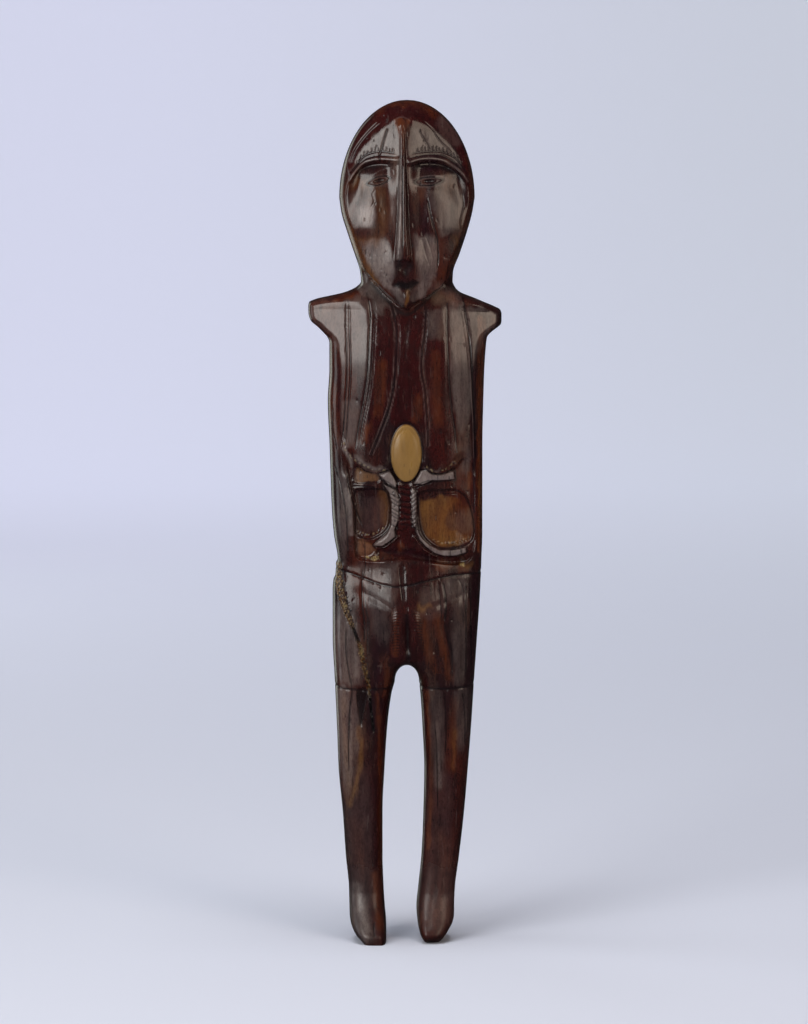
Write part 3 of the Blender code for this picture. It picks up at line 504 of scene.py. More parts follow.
def hip_relief(u, w):
    """Seam, groin lines, the two lobes and the cleft between them."""
    out = groove(u, w, SEAM, 6, 0.7)
    for points in GROIN_LINES:
        out += groove(u, w, points, 8, 0.5, 0.25)
    for points, half_width in LOBES:
        out += 1.8 * band(u, w, points, half_width - 3.5, 4.0) * (0.2 + 0.8 * ramp(404, 384, w))
    out += groove(u, w, CLEFT, 7, 3.5, 0.3)
    for points in HIP_LINES:
        out += groove(u, w, points, 4.5, 0.6, 0.15)
    return out


def fissure_relief(u, w):
    """An open crack that narrows as it runs down."""
    d, share = distance_to_line(u, w, smooth_line(FISSURE), 20)
    width = FISSURE_WIDTH / MILLE * look_up(FISSURE_OPENING, share)
    return -FISSURE_DEPTH * (1 - 0.5 * share) * (1 - ramp(0.25, 1.0, d / width))


def front_relief(u, w):
    """Everything carved on the front, as a height over the plain surface."""
    out = face_relief(u, w) * ramp(752, 762, w)
    chest = np.zeros(u.shape)
    for points in CHEST_LINES:
        chest += groove(u, w, points, PAIRED_LINE_WIDTH / MILLE, PAIRED_LINE_DEPTH / MILLE)
    return out + chest + belly_relief(u, w) + hip_relief(u, w) + fissure_relief(u, w)


def back_relief(u, w):
    """The plainer carving of the back."""
    out = groove(u, w, SPINE, 16, 3.0, 0.15) + groove(u, w, BUTTOCK_CLEFT, 9, 5.0, 0.25)
    for place in BUTTOCKS:
        out += mound(u, w, place)
    for points in BACK_LINES:
        out += groove(u, w, points, PAIRED_LINE_WIDTH / MILLE, PAIRED_LINE_DEPTH / MILLE)
    return out + groove(u, w, NAPE_LINE, 7, 2.0, 0.15)


def ring_relief(u, w):
    """Belt and garter lines, which go round the sides and the back as well."""
    out = np.zeros(u.shape)
    for points in (BELT, *GARTERS):
        out -= 0.8 * ring_trace(u, w, points, 1.7)
    return out


def outline():
    """Both sides of the figure as one open line, from the left sole over the crown to the right."""
    top = CROWN["level"] + CROWN["rise"]
    level = np.concatenate([np.linspace(0, top - 10, 496), top - 10 * np.linspace(1, 0, 30)[1:] ** 2])
    left = np.stack([side(level, 1), level], 1)
    right = np.stack([side(level, 2), level], 1)
    return np.concatenate([left, right[::-1]])


def gap_outline():
    """The edge of the gap between the legs, from the left sole over the arch to the right sole."""
    level = np.concatenate([np.linspace(0, 325, 163), CROTCH - 6 * np.linspace(1, 0, 14)[1:] ** 2])
    left = np.stack([gap_side(level, 1), level], 1)
    right = np.stack([gap_side(level, 2), level], 1)
    return np.concatenate([left, right[::-1]])


def plain_depths(u, w):
    """Front and back depth of the uncarved form."""
    from_side, _ = distance_to_line(u, w, outline())
    from_gap, _ = distance_to_line(u, w, gap_outline(), 60)
    gap = rounded(from_gap / curve_by_level(GAP_ROUNDING, 1, w))
    beyond = np.abs(u - (side(w, 1) + side(w, 2)) / 2) - curve_by_level(FRONT_PLANES, 1, w)
    fall = curve_by_level(FRONT_PLANES, 2, w) * (1 - 0.6 * ramp(750, 762, w) * ramp(0, 20, u))
    body = curve_by_level(PROFILE, 1, w) - fall * soft_max(beyond, 0, 4)
    body = body * rounded(from_side / curve_by_level(ROUNDING, 1, w)) * gap
    jaw = smooth_line(JAW)
    from_jaw, _ = distance_to_line(u, w, jaw, 80)
    above = w > np.interp(u, jaw[:, 0], jaw[:, 1], left=JAW[0][1], right=JAW[-1][1])
    from_jaw = np.where(above, from_jaw, 0)
    edge = np.minimum(from_side / curve_by_level(ROUNDING, 1, np.maximum(w, 845)), from_jaw / JAW_ROUNDING)
    head = curve_by_level(HEAD_PROFILE, 1, w) * rounded(edge)
    aside = np.abs(u - FACE_MIDDLE) - curve_by_level(FACE_PLANES, 3, w)
    planes = curve_by_level(FACE_PLANES, 1, w) - curve_by_level(FACE_PLANES, 2, w) * soft_max(aside, 0, 3)
    field = depth_inside(u, w, smooth_line(FACE_FIELD, closed=True), 90)
    planes -= HOOD_FALL * soft_max(-field, 0, 3) * ramp(760, 800, w)
    head = -soft_max(-head, -planes, 1.6)
    front = np.where(w > HEAD_LOWEST, soft_max(body, head, 1.5), body)
    front = front * np.where(u > ARCH["middle"], look_up(RIGHT_FOOT_REACH, w), 1.0)
    back = curve_by_level(PROFILE, 2, w) * rounded(from_side / curve_by_level(BACK_ROUNDING, 1, w)) * gap
    return front, back, from_side, from_gap


def row_levels():
    """The levels of the rows, closer together where the carving is fine."""
    top = CROWN["level"] + CROWN["rise"]
    levels, level = [0.0], 0.0
    while level < top - 0.6:
        step = FINE_ROW_STEP if any(low <= level < high for low, high in FINE_ROWS) else ROW_STEP
        if level > top - 15:
            step = max(0.25, (top - level) * 0.28)
        elif 0 < level - CROTCH < 4 or 0 < CROTCH - level < 3:
            step = 0.8
        if level < CROTCH < level + step:
            step = CROTCH - level
        level += step
        levels.append(level)
    return np.array(levels)


def column_places(count, level, first, last, open_end):
    """Where the columns of one half lie between its outer side and its inner edge."""
    share = np.linspace(0, 1, count + 1)
    outer_dense = 1 - np.cos(share * np.pi / 2)
    both_dense = (1 - np.cos(share * np.pi)) / 2
    outer_dense = 0.6 * outer_dense + 0.4 * share
    blend = 1.0 if open_end else 1 - float(ramp(CROTCH + 6, CROTCH + 90, level))
    return first + (last - first) * ((1 - blend) * outer_dense + blend * both_dense)


def row_columns(count, level):
    """The places across one row, for the left and the right half."""
    half = count // 2
    if level < CROTCH:
        inner = gap_side(level, 1), gap_side(level, 2)
    else:
        weight = float(ramp(CROTCH, CROTCH + 120, level))
        centre = (1 - weight) * ARCH["middle"] + weight * float(side(level, 1) + side(level, 2)) / 2
        inner = centre, centre
    left = column_places(half, level, side(level, 1), inner[0], level < CROTCH)
    right = column_places(half, level, side(level, 2), inner[1], level < CROTCH)[::-1]
    return left, right


def sheet_points(levels, count):
    """The drawing's u and w of every row's left and right half."""
    rows = [row_columns(count, level) for level in levels]
    u = np.array([np.concatenate(row) for row in rows])
    return u, np.repeat(levels[:, None], u.shape[1], 1)


def carved_sheets(reliefs):
    """Points of the front and the back sheet, as arrays of rows, each with a left and a right half."""
    levels = row_levels()
    sheets = []
    for which, (count, relief) in enumerate(zip((FRONT_COLUMNS, BACK_COLUMNS), reliefs)):
        u, w = sheet_points(levels, count)
        flat_u, flat_w = u.ravel(), w.ravel()
        depths = plain_depths(flat_u, flat_w)
        depth, from_edge = depths[which], np.minimum(depths[2], depths[3])
        depth = depth + relief(flat_u, flat_w) * ramp(0, 9, from_edge)
        side_line = curve_by_level(PROFILE, 3, flat_w)
        y = -side_line + (depth if which else -depth)
        points = np.stack([flat_u, y, flat_w], 1).reshape(*u.shape, 3)
        on_edge = np.zeros(u.shape, bool)
        on_edge[:, [0, -1]] = True
        half = u.shape[1] // 2
        on_edge[levels <= CROTCH, half - 1: half + 1] = True
        points[..., 1] = np.where(on_edge, -curve_by_level(PROFILE, 3, w), points[..., 1])
        sheets.append(points)
    return levels, sheets


def build_surface(reliefs):
    """One closed mesh: the two sheets joined along the side line and round the gap."""
    levels, (front, back) = carved_sheets(reliefs)
    mesh = bmesh.new()
    crotch_row = int(np.argmin(np.abs(levels - CROTCH)))

    def make_row(points, row, edges):
        half = len(points) // 2
        made = []
        for i, point in enumerate(points):
            key = None
            if i in (0, len(points) - 1):
                key = ("side", row, i > 0)
            elif i in (half - 1, half) and row < crotch_row:
                key = ("gap", row, i == half)
            elif i in (half - 1, half) and row == crotch_row:
                key = ("gap", row, False)
            elif i == half:
                made.append(made[-1])
                continue
            if key is not None and key in edges:
                made.append(edges[key])
                continue
            vertex = mesh.verts.new(point * MILLE)
            if key is not None:
                edges[key] = vertex
            made.append(vertex)
        return made

    edges = {}
    rows_front = [make_row(points, row, edges) for row, points in enumerate(front)]
    rows_back = [make_row(points, row, edges) for row, points in enumerate(back)]
    for rows, turn in ((rows_front, False), (rows_back, True)):
        half = len(rows[0]) // 2
        for low, high in zip(rows[:-1], rows[1:]):
            for i in range(len(low) - 1):
                if i == half - 1:
                    continue
                quad = [low[i], low[i + 1], high[i + 1], high[i]]
                mesh.faces.new(quad[::-1] if turn else quad)
    close_crown(mesh, rows_front[-1], rows_back[-1])
    close_soles(mesh, rows_front[0], rows_back[0])
    return mesh


def close_crown(mesh, front, back):
    """The last row round the crown closes on one point."""
    ring = list(dict.fromkeys(front)) + list(dict.fromkeys(back))[-2:0:-1]
    top = mesh.verts.new((CROWN["middle"] * MILLE, -PROFILE[0][3] * MILLE, HEIGHT))
    for a, b in zip(ring, ring[1:] + ring[:1]):
        mesh.faces.new((a, b, top))


def close_soles(mesh, front, back):
    """Each foot's lowest row is closed by one flat sole."""
    for part in (0, 1):
        halves = [row[: len(row) // 2] if part == 0 else row[len(row) // 2:] for row in (front, back)]
        mesh.faces.new(halves[0][::-1] + halves[1][1:-1])


def vertex_points(data):
    """The places of a mesh's vertices, one row each."""
    points = np.empty(len(data.vertices) * 3, np.float32)
    data.vertices.foreach_get("co", points)
    return points.reshape(-1, 3)


def move_vertices(data, points):
    """Gives a mesh's vertices new places."""
    data.vertices.foreach_set("co", points.astype(np.float32).ravel())
    data.update()


def add_object(name, data):
    """A new object, linked to the scene."""
    made = bpy.data.objects.new(name, data)
    bpy.context.scene.collection.objects.link(made)
    return made


def engrave_rings(data):
    """Cuts the lines that go round the body in along the surface's own normals."""
    points = vertex_points(data).astype(float)
    normals = np.empty(len(points) * 3, np.float32)
    data.vertex_normals.foreach_get("vector", normals)
    depth = ring_relief(points[:, 0] / MILLE, points[:, 2] / MILLE) * MILLE
    move_vertices(data, points + normals.reshape(-1, 3) * depth[:, None] * np.array([1, 1, 0]))


# Fine engraving: points, width, depth and how dark the line has become
BROW_LINES = [
    ([(-66, 912), (-58, 922.6), (-48, 934.3), (-38, 938.5), (-29.6, 939.7), (-19.7, 939),
      (-8, 936.8)], 1.4, 0.8, 1.0),
    ([(-64, 912), (-55.4, 923), (-46.3, 931), (-36.3, 934.3), (-28, 935), (-18, 934.3),
      (-8, 933.2)], 1.3, 0.7, 0.95),
    ([(4.5, 936.3), (13.6, 938.5), (26.9, 939.7), (40.2, 939.7), (52, 936), (60.2, 931), (67, 922.6),
      (75, 910)], 1.4, 0.8, 1.0),
    ([(3.6, 931.3), (13.6, 934.3), (26.9, 936.3), (40.2, 936), (50.2, 931.8), (60.2, 925.1),
      (70, 914)], 1.3, 0.7, 0.95),
]
BROW_TICKS = {"lines": (0, 2), "pitch": 4.3, "length": 6.0, "width": 1.1}
FACE_LINES = [
    ([(-20, 968), (-24, 955), (-28, 941), (-30, 934), (-28, 925)], 1.6, 1.3, 1.0),
    ([(16, 966), (23, 953), (30, 941)], 1.2, 0.6, 0.7),
    ([(20, 977), (33, 965), (40, 953), (57, 937)], 1.1, 0.5, 0.5),
    ([(26, 886), (31, 862), (37, 842), (39, 821), (38, 801)], 1.5, 1.1, 1.0),
    ([(67, 892), (69, 876), (65, 860), (66, 845)], 1.2, 0.6, 0.7),
    ([(-3, 930), (-2.8, 905), (-2.8, 888), (-2.4, 862), (-2.4, 822)], 1.5, 0.8, 1.0),
    ([(-8, 905), (-8.6, 880), (-10, 850), (-13, 824), (-14.5, 812)], 1.2, 0.4, 0.5),
    ([(3.5, 905), (4.2, 880), (5.5, 850), (8, 824)], 1.1, 0.3, 0.5),
    ([(-26, 975), (-43, 960), (-57, 941), (-65, 920)], 1.1, 0.5, 0.6),
    ([(-30, 976), (-47, 959), (-61, 939), (-68, 918)], 1.1, 0.5, 0.6),
    ([(-34, 896), (-38, 890), (-36, 882), (-41, 874)], 0.9, 0.4, 0.4),
    ([(20, 838), (24, 822), (29, 806)], 0.9, 0.3, 0.3),
    ([(24, 842), (30, 826), (33, 812)], 0.9, 0.3, 0.3),
]
# The cuts along each chest line: how far off the line, width, depth and how dark
CHEST_CUTS = [
    [(-2.0, 1.2, 0.8, 1.0), (2.0, 1.2, 0.8, 1.0)],
    [(-1.8, 1.8, 0.9, 1.0), (2.2, 1.1, 0.6, 0.9), (4.6, 1.0, 0.5, 0.6)],
    [(-2.7, 1.1, 0.3, 0.0), (2.7, 1.1, 0.3, 0.0)],
    [(-2.2, 1.1, 0.3, 0.0), (2.2, 1.1, 0.3, 0.0)],
    [(0, 2.4, 0.5, 0.9)],
    [(-2.4, 1.0, 0.5, 0.2), (0.9, 1.8, 0.9, 1.0)],
]
# Bands of painted highlight along the chest lines' edges (which chest line, how far off it, how strong) and
# dark bands, which have a half width too
CHEST_LINE_HIGHLIGHTS = [(2, -2.4, 0.36), (2, 2.4, 0.42), (3, -2.1, 0.36), (3, 2.1, 0.30), (5, -1.6, 0.30),
  (0, -0.2, 0.15)]
CHEST_BANDS = [(1, -1.8, 0.8, 0.9), (2, 0, 1.0, 0.8), (3, 0, 0.7, 0.8), (4, 0, 0.9, 0.75), (5, 0.9, 1.0, 0.9)]
CHEST_FINE = [
    ([(6, 746), (3, 732), (1.5, 712), (0, 695)], 1.0, 0.4, 0.6),
    ([(-33, 745), (-27, 733), (-23, 722)], 0.9, 0.3, 0.0),
]
SIDE_CRACKS = [
    ([(-70, 646), (-72, 612), (-71, 598)], 1.2, 0.8, 1.0),
    ([(-68, 572), (-67, 550), (-60, 523), (-50, 497)], 1.5, 1.1, 1.0),
    ([(-86, 577), (-76, 550), (-69, 509), (-67, 462)], 1.3, 0.9, 1.0),
    ([(-85, 640), (-85, 612), (-79, 588)], 1.2, 0.8, 0.9),
    ([(-48, 483), (-47, 468), (-47, 448), (-49, 432)], 1.2, 0.8, 0.9),
    ([(-57, 478), (-58, 462)], 1.0, 0.6, 0.8),
    ([(-69, 380), (-70, 354), (-66, 323), (-63, 309)], 1.4, 1.0, 1.0),
    ([(-63, 304), (-66, 272), (-67, 236), (-66, 203)], 1.3, 0.9, 1.0),
    ([(-61, 304), (-65, 276), (-65.5, 240)], 1.0, 0.6, 0.8),
]
SEAM_PAIR = [
    ([(-6.9, 455), (-5.7, 436), (-2.2, 410)], 1.3, 0.8, 0.9),
    ([(-1.3, 455), (-0.7, 436), (1.0, 412)], 1.3, 0.8, 0.9),
]
HIP_FINE = [
    ([(-49.3, 454), (-50.6, 429), (-50, 404), (-47.6, 385), (-48, 367), (-48.7, 357)], 1.6, 1.0, 1.0),
    ([(-47.4, 432), (-46.8, 410), (-44.3, 392), (-44.3, 367), (-44.3, 340)], 1.3, 0.7, 0.9),
    ([(39, 436), (41, 417), (43, 398), (44, 383)], 1.2, 0.6, 0.8),
    ([(44.6, 434), (47.9, 417), (48.6, 402), (46.7, 385)], 2.6, 1.2, 1.0),
    ([(46.7, 388), (49.2, 373), (53, 360), (55.4, 348), (56, 318)], 3.2, 0.7, 0.7),
    ([(63, 437), (68, 427), (69, 419)], 1.2, 0.6, 0.8),
    ([(71.6, 439), (72.3, 354), (71.6, 316)], 1.4, 0.8, 0.9),
    ([(76.6, 439), (78.5, 367), (78.5, 316)], 1.4, 0.8, 0.9),
    ([(-63, 446), (-51, 439.5), (-38, 434), (-27, 430.5), (-14, 429.5)], 1.0, 0.5, 0.6),
    ([(3, 427), (30, 429)], 0.9, 0.4, 0.5),
]
LEG_FINE = [
    ([(47, 304), (48.6, 258), (47.9, 225)], 1.1, 0.5, 0.8),
    ([(35, 265), (37.7, 231), (39, 155)], 1.3, 0.6, 0.9),
    ([(40, 151), (43, 131), (50, 123), (54, 131)], 0.9, 0.3, 0.3),
    ([(67.7, 304), (71, 272), (71, 236)], 1.2, 0.6, 0.8),
    ([(-36, 27), (-37, 19), (-36, 10)], 2.2, 1.2, 0.8),
    ([(-46, 302), (-48, 280), (-52, 240), (-51, 215)], 1.1, 0.5, 0.3),
]
# How much of their depth the seam, hip and leg lines have
SHALLOW = 0.45
LIMB_LINES = [
    ([(-31, 558.6), (-24, 554), (-17, 549.5), (-10.5, 544.5)], 1.0, 0.7, 0.95),
    ([(-31, 555.6), (-24, 550.8), (-17, 546.2), (-11, 541.4)], 1.0, 0.7, 0.95),
    ([(10, 546), (18, 550), (30, 554.5)], 1.1, 0.7, 0.9),
    ([(11, 543), (20, 547.5), (33, 551)], 1.1, 0.7, 0.8),
    ([(53.4, 471), (53.8, 460)], 1.1, 0.8, 1.0),
    ([(65.6, 473), (66.8, 466)], 1.1, 0.8, 1.0),
    ([(24, 534), (33, 538), (44, 540.5), (62, 540)], 1.0, 0.5, 0.35),
    ([(26, 531), (36, 535.5), (47, 537.5), (64, 537)], 1.0, 0.5, 0.35),
    ([(-62, 546), (-48, 546.3), (-34, 544.6)], 1.5, 0.3, 1.0),
    ([(-62, 549.6), (-48, 550), (-34, 549)], 1.1, 0.2, 0.9),
    ([(24.3, 566), (32.4, 561.6), (42.6, 561.4), (51.8, 564.8), (60, 571.2)], 1.6, 0.8, 1.0),
    ([(-59, 571), (-51.7, 567.2), (-43.6, 563.8), (-37.4, 562.2)], 1.3, 0.8, 0.9),
]
HATCH_LEVELS = {
    "left": (535, 530, 525.5, 518.5, 514, 510, 499),
    "right": (539, 534, 529, 523.5, 518, 512.5, 507, 502),
}
HATCH_ENDS = {"left": ((-17.5, 3.6), (-6.4, -3.2)), "right": ((7.4, -3.6), (14.4, 3.6))}
SPINE_STRIPES = {"half_width": 8.0, "levels": (546, 500), "pitch": 7.4}
DOTS = [(-14.2, 539.6), (-11.9, 523), (-11.6, 505.8)]
FISSURE_FILL = [(0, 1), (0.36, 1), (0.40, 0), (0.45, 0), (0.48, 1), (0.76, 1), (0.82, 0), (1, 0)]
RIBS = {"pitch": 3.4, "depth": 0.07, "shade": 0.55}
GOUGE = [(-56.5, 304), (-44, 304), (-47, 282), (-52, 260), (-55.5, 280)]
KNOB = (32.4, 347, 2.6, 2.6, 1.2)
NICKS = {"count": 190, "seed": 11, "length": (2.0, 7.5), "width": 1.0, "depth": 0.5}
SCRATCHES = {"count": 150, "seed": 5, "length": (6, 34), "width": 0.8, "depth": 0.14}
PALE_SCRATCHES = {"count": 85, "seed": 17, "length": (5, 26), "width": 0.8, "depth": 0.1}
GAP_MARGIN = 6

# Masks of the patina's colours; some also carry painted sheen, highlights and shade
MASK_NAMES = ("dark", "amber", "ember", "honey", "red", "dusk", "haze", "pale", "crumb", "scuff")

# Places of the patina's colours and of painted sheen, highlights and shade: along lines (points, half width,
# softness, amount)
STREAKS = {
    "amber": [
        ([(2.5, 777), (3, 770), (2.5, 762)], 2.4, 1.6, 1),
        ([(-55, 258), (-52, 231), (-55, 203), (-60, 183), (-66, 166)], 2.2, 3, 0.8),
        ([(-72, 300), (-72, 260), (-69, 215), (-66, 180)], 4, 5, 0.4),
        ([(59.5, 252), (58.5, 231), (57, 212)], 2.2, 3, 0.7),
        ([(18, 404), (24, 402), (30, 405)], 3, 3.5, 0.75),
        ([(66, 455), (78, 453)], 3, 3.5, 0.7),
        ([(88, 560), (88.8, 540), (88.5, 512)], 1.6, 2, 0.75),
        ([(-66, 850), (-58, 828), (-46, 806), (-33, 786)], 3.5, 4, 0.7),
        ([(-67, 868), (-63, 846)], 2.5, 3, 0.6),
        ([(-56, 838), (-46, 836), (-34, 834)], 4, 5, 0.6),
        ([(-64, 900), (-54, 906), (-47, 898)], 5, 5, 0.4),
        ([(36, 768), (50, 766)], 5, 5, 0.35),
        ([(-29, 892), (-28, 866), (-29, 845)], 4, 6, 0.35),
        ([(58, 838), (64, 824), (58, 808)], 3, 4, 0.35),
    ],
    "ember": [
        ([(90, 742), (90, 715), (89.5, 690), (89, 650), (88.5, 600)], 4.2, 2, 0.95),
        ([(89, 600), (89, 560), (89, 520), (88, 470)], 3.6, 2, 0.9),
        ([(75, 562), (74, 545)], 3.5, 3, 0.9),
        ([(-28, 690), (-29, 655), (-33, 632)], 4.5, 5, 0.8),
        ([(-44, 618), (-50, 600)], 4, 4, 0.7),
        ([(15.5, 652), (15, 636), (12, 625)], 4, 5, 0.7),
        ([(36, 700), (38, 660), (40, 625)], 5, 7, 0.5),
        ([(40, 452), (56, 450), (70, 448)], 4, 4, 0.7),
        ([(38, 392), (44, 360), (50, 335), (52, 318)], 4, 5, 0.75),
        ([(19, 395), (24, 370), (30, 345), (36, 330)], 5, 5, 0.55),
        ([(-13, 396), (-11, 372), (-12, 350)], 4, 4, 0.5),
        ([(-24, 340), (-20, 322), (-26, 300)], 4, 6, 0.5),
        ([(27, 300), (29, 255), (31, 200), (30, 150), (27, 110)], 2.2, 2.5, 0.7),
        ([(-33, 300), (-30, 250), (-29, 200), (-29, 120), (-28, 60)], 2.2, 2.5, 0.7),
        ([(-36, 80), (-32, 50), (-30, 20)], 4, 4, 0.6),
        ([(40, 130), (46, 112), (52, 96)], 6, 8, 0.35),
        ([(-58, 140), (-52, 100), (-46, 70)], 6, 9, 0.22),
        ([(48, 100), (46, 70), (40, 40)], 8, 9, 0.25),
        ([(60, 290), (58, 262), (56, 240)], 5, 5, 0.45),
        ([(-72, 290), (-70, 250), (-66, 215)], 3, 3, 0.35),
        ([(-40, 985), (-20, 996), (8, 997), (36, 985)], 4, 5, 0.45),
        ([(-66, 905), (-72, 880), (-66, 850), (-56, 822)], 2.5, 3, 0.5),
        ([(74, 935), (79, 905), (78, 875), (70, 845)], 2.5, 3, 0.55),
        ([(60, 828), (52, 804), (40, 786)], 5, 5, 0.35),
        ([(-18, 890), (-17, 866), (-16, 845)], 4, 6, 0.3),
        ([(40, 778), (54, 768), (62, 762)], 5, 4, 0.7),
        ([(-106, 745), (-84, 760), (-60, 771)], 2.5, 2, 0.5),
        ([(104, 740), (98, 726), (93, 714)], 2.2, 2, 0.7),
        ([(-6, 477), (-3, 470)], 3, 3, 0.6),
        ([(-82, 660), (-84, 630), (-80, 600)], 2.5, 3, 0.5),
        ([(-88, 690), (-89, 660), (-88, 625)], 1.2, 1.5, 0.7),
    ],
    # Dark purple tones, and painted shade where noted
    "dusk": [
        ([(30, 880), (24, 862), (27, 838)], 8, 7, 0.9),
        # Painted shadow under the right brow
        ([(12, 918), (34, 922), (52, 918)], 3.5, 3, 0.9),
        ([(-66, 425), (-65, 408), (-63, 392)], 5, 5, 0.3),
        ([(-16, 990), (0, 993), (16, 989)], 6, 6, 0.35),
        # Painted shadow under the left brow
        ([(-60, 908), (-50, 912), (-38, 916), (-20, 918)], 3, 3, 0.6),
        # Painted shadow under the nose tip
        ([(0, 812), (4, 800), (2, 790)], 5, 5, 0.7),
        ([(-50, 668), (-52, 655), (-56, 644)], 6, 6, 0.9),
        ([(-80, 690), (-78, 660), (-80, 640)], 5, 6, 0.7),
        ([(-40, 425), (-34, 400), (-30, 370), (-36, 340)], 7, 7, 0.7),
        ([(-34, 335), (-34, 305), (-34, 260)], 7, 7, 0.7),
        ([(84, 440), (82, 400), (80, 350), (78, 315)], 4, 3, 0.85),
        ([(-44, 190), (-46, 150), (-46, 110), (-46, 70)], 7, 8, 0.2),
        ([(55, 200), (56, 160), (52, 140)], 7, 7, 0.7),
        ([(82, 600), (81.5, 560), (82, 515)], 1.4, 1.4, 0.9),
        ([(80, 690), (82, 650), (82.5, 600)], 1.6, 1.5, 0.6),
        ([(-44, 538), (-46, 515), (-47, 500)], 9, 6, 0.7),
        # Painted shade on the lower pocket's left wall
        ([(-52, 485), (-54, 470)], 2, 2, 0.9),
        # Painted shadow in the groove under the small being's legs
        ([(-28, 471), (0, 468), (28, 462)], 4, 3, 0.8),
    ],
    # Grey wear and painted sheen
    "haze": [
        ([(-71.5, 594), (-67.5, 583), (-63, 573)], 2.4, 1.6, 1),
        ([(-57, 582), (-50, 574), (-41, 570), (-31, 567), (-24, 565)], 3.4, 2.2, 0.9),
        ([(24, 570), (31, 566.5), (40, 566)], 1.8, 1.6, 0.6),
        ([(57, 577), (58.5, 576)], 1.6, 1.4, 1),
        ([(-68, 538), (-66, 515), (-63, 492)], 4.2, 2, 0.85),
        ([(74, 590), (73.5, 578), (71, 568)], 3.6, 3, 0.75),
        ([(-67, 300), (-69, 262), (-68, 225), (-66, 190)], 2.6, 2.4, 0.5),
        ([(30.9, 300), (36.4, 272), (39.1, 244), (41.8, 190)], 3, 2.6, 0.6),
        ([(61, 300), (64, 262), (65, 236)], 4, 3, 0.35),
        ([(-57, 64), (-53, 44), (-46, 22), (-44, 8)], 5, 6, 0.9),
        ([(38, 62), (33, 42), (30, 22)], 2.4, 2.4, 0.7),
        ([(50, 52), (46, 34)], 6, 8, 0.35),
        ([(-62, 395), (-59, 360), (-58, 325)], 4, 2, 0.9),
        ([(-76, 428), (-73, 380), (-72, 330)], 1.6, 1.6, 0.5),
    ],
}

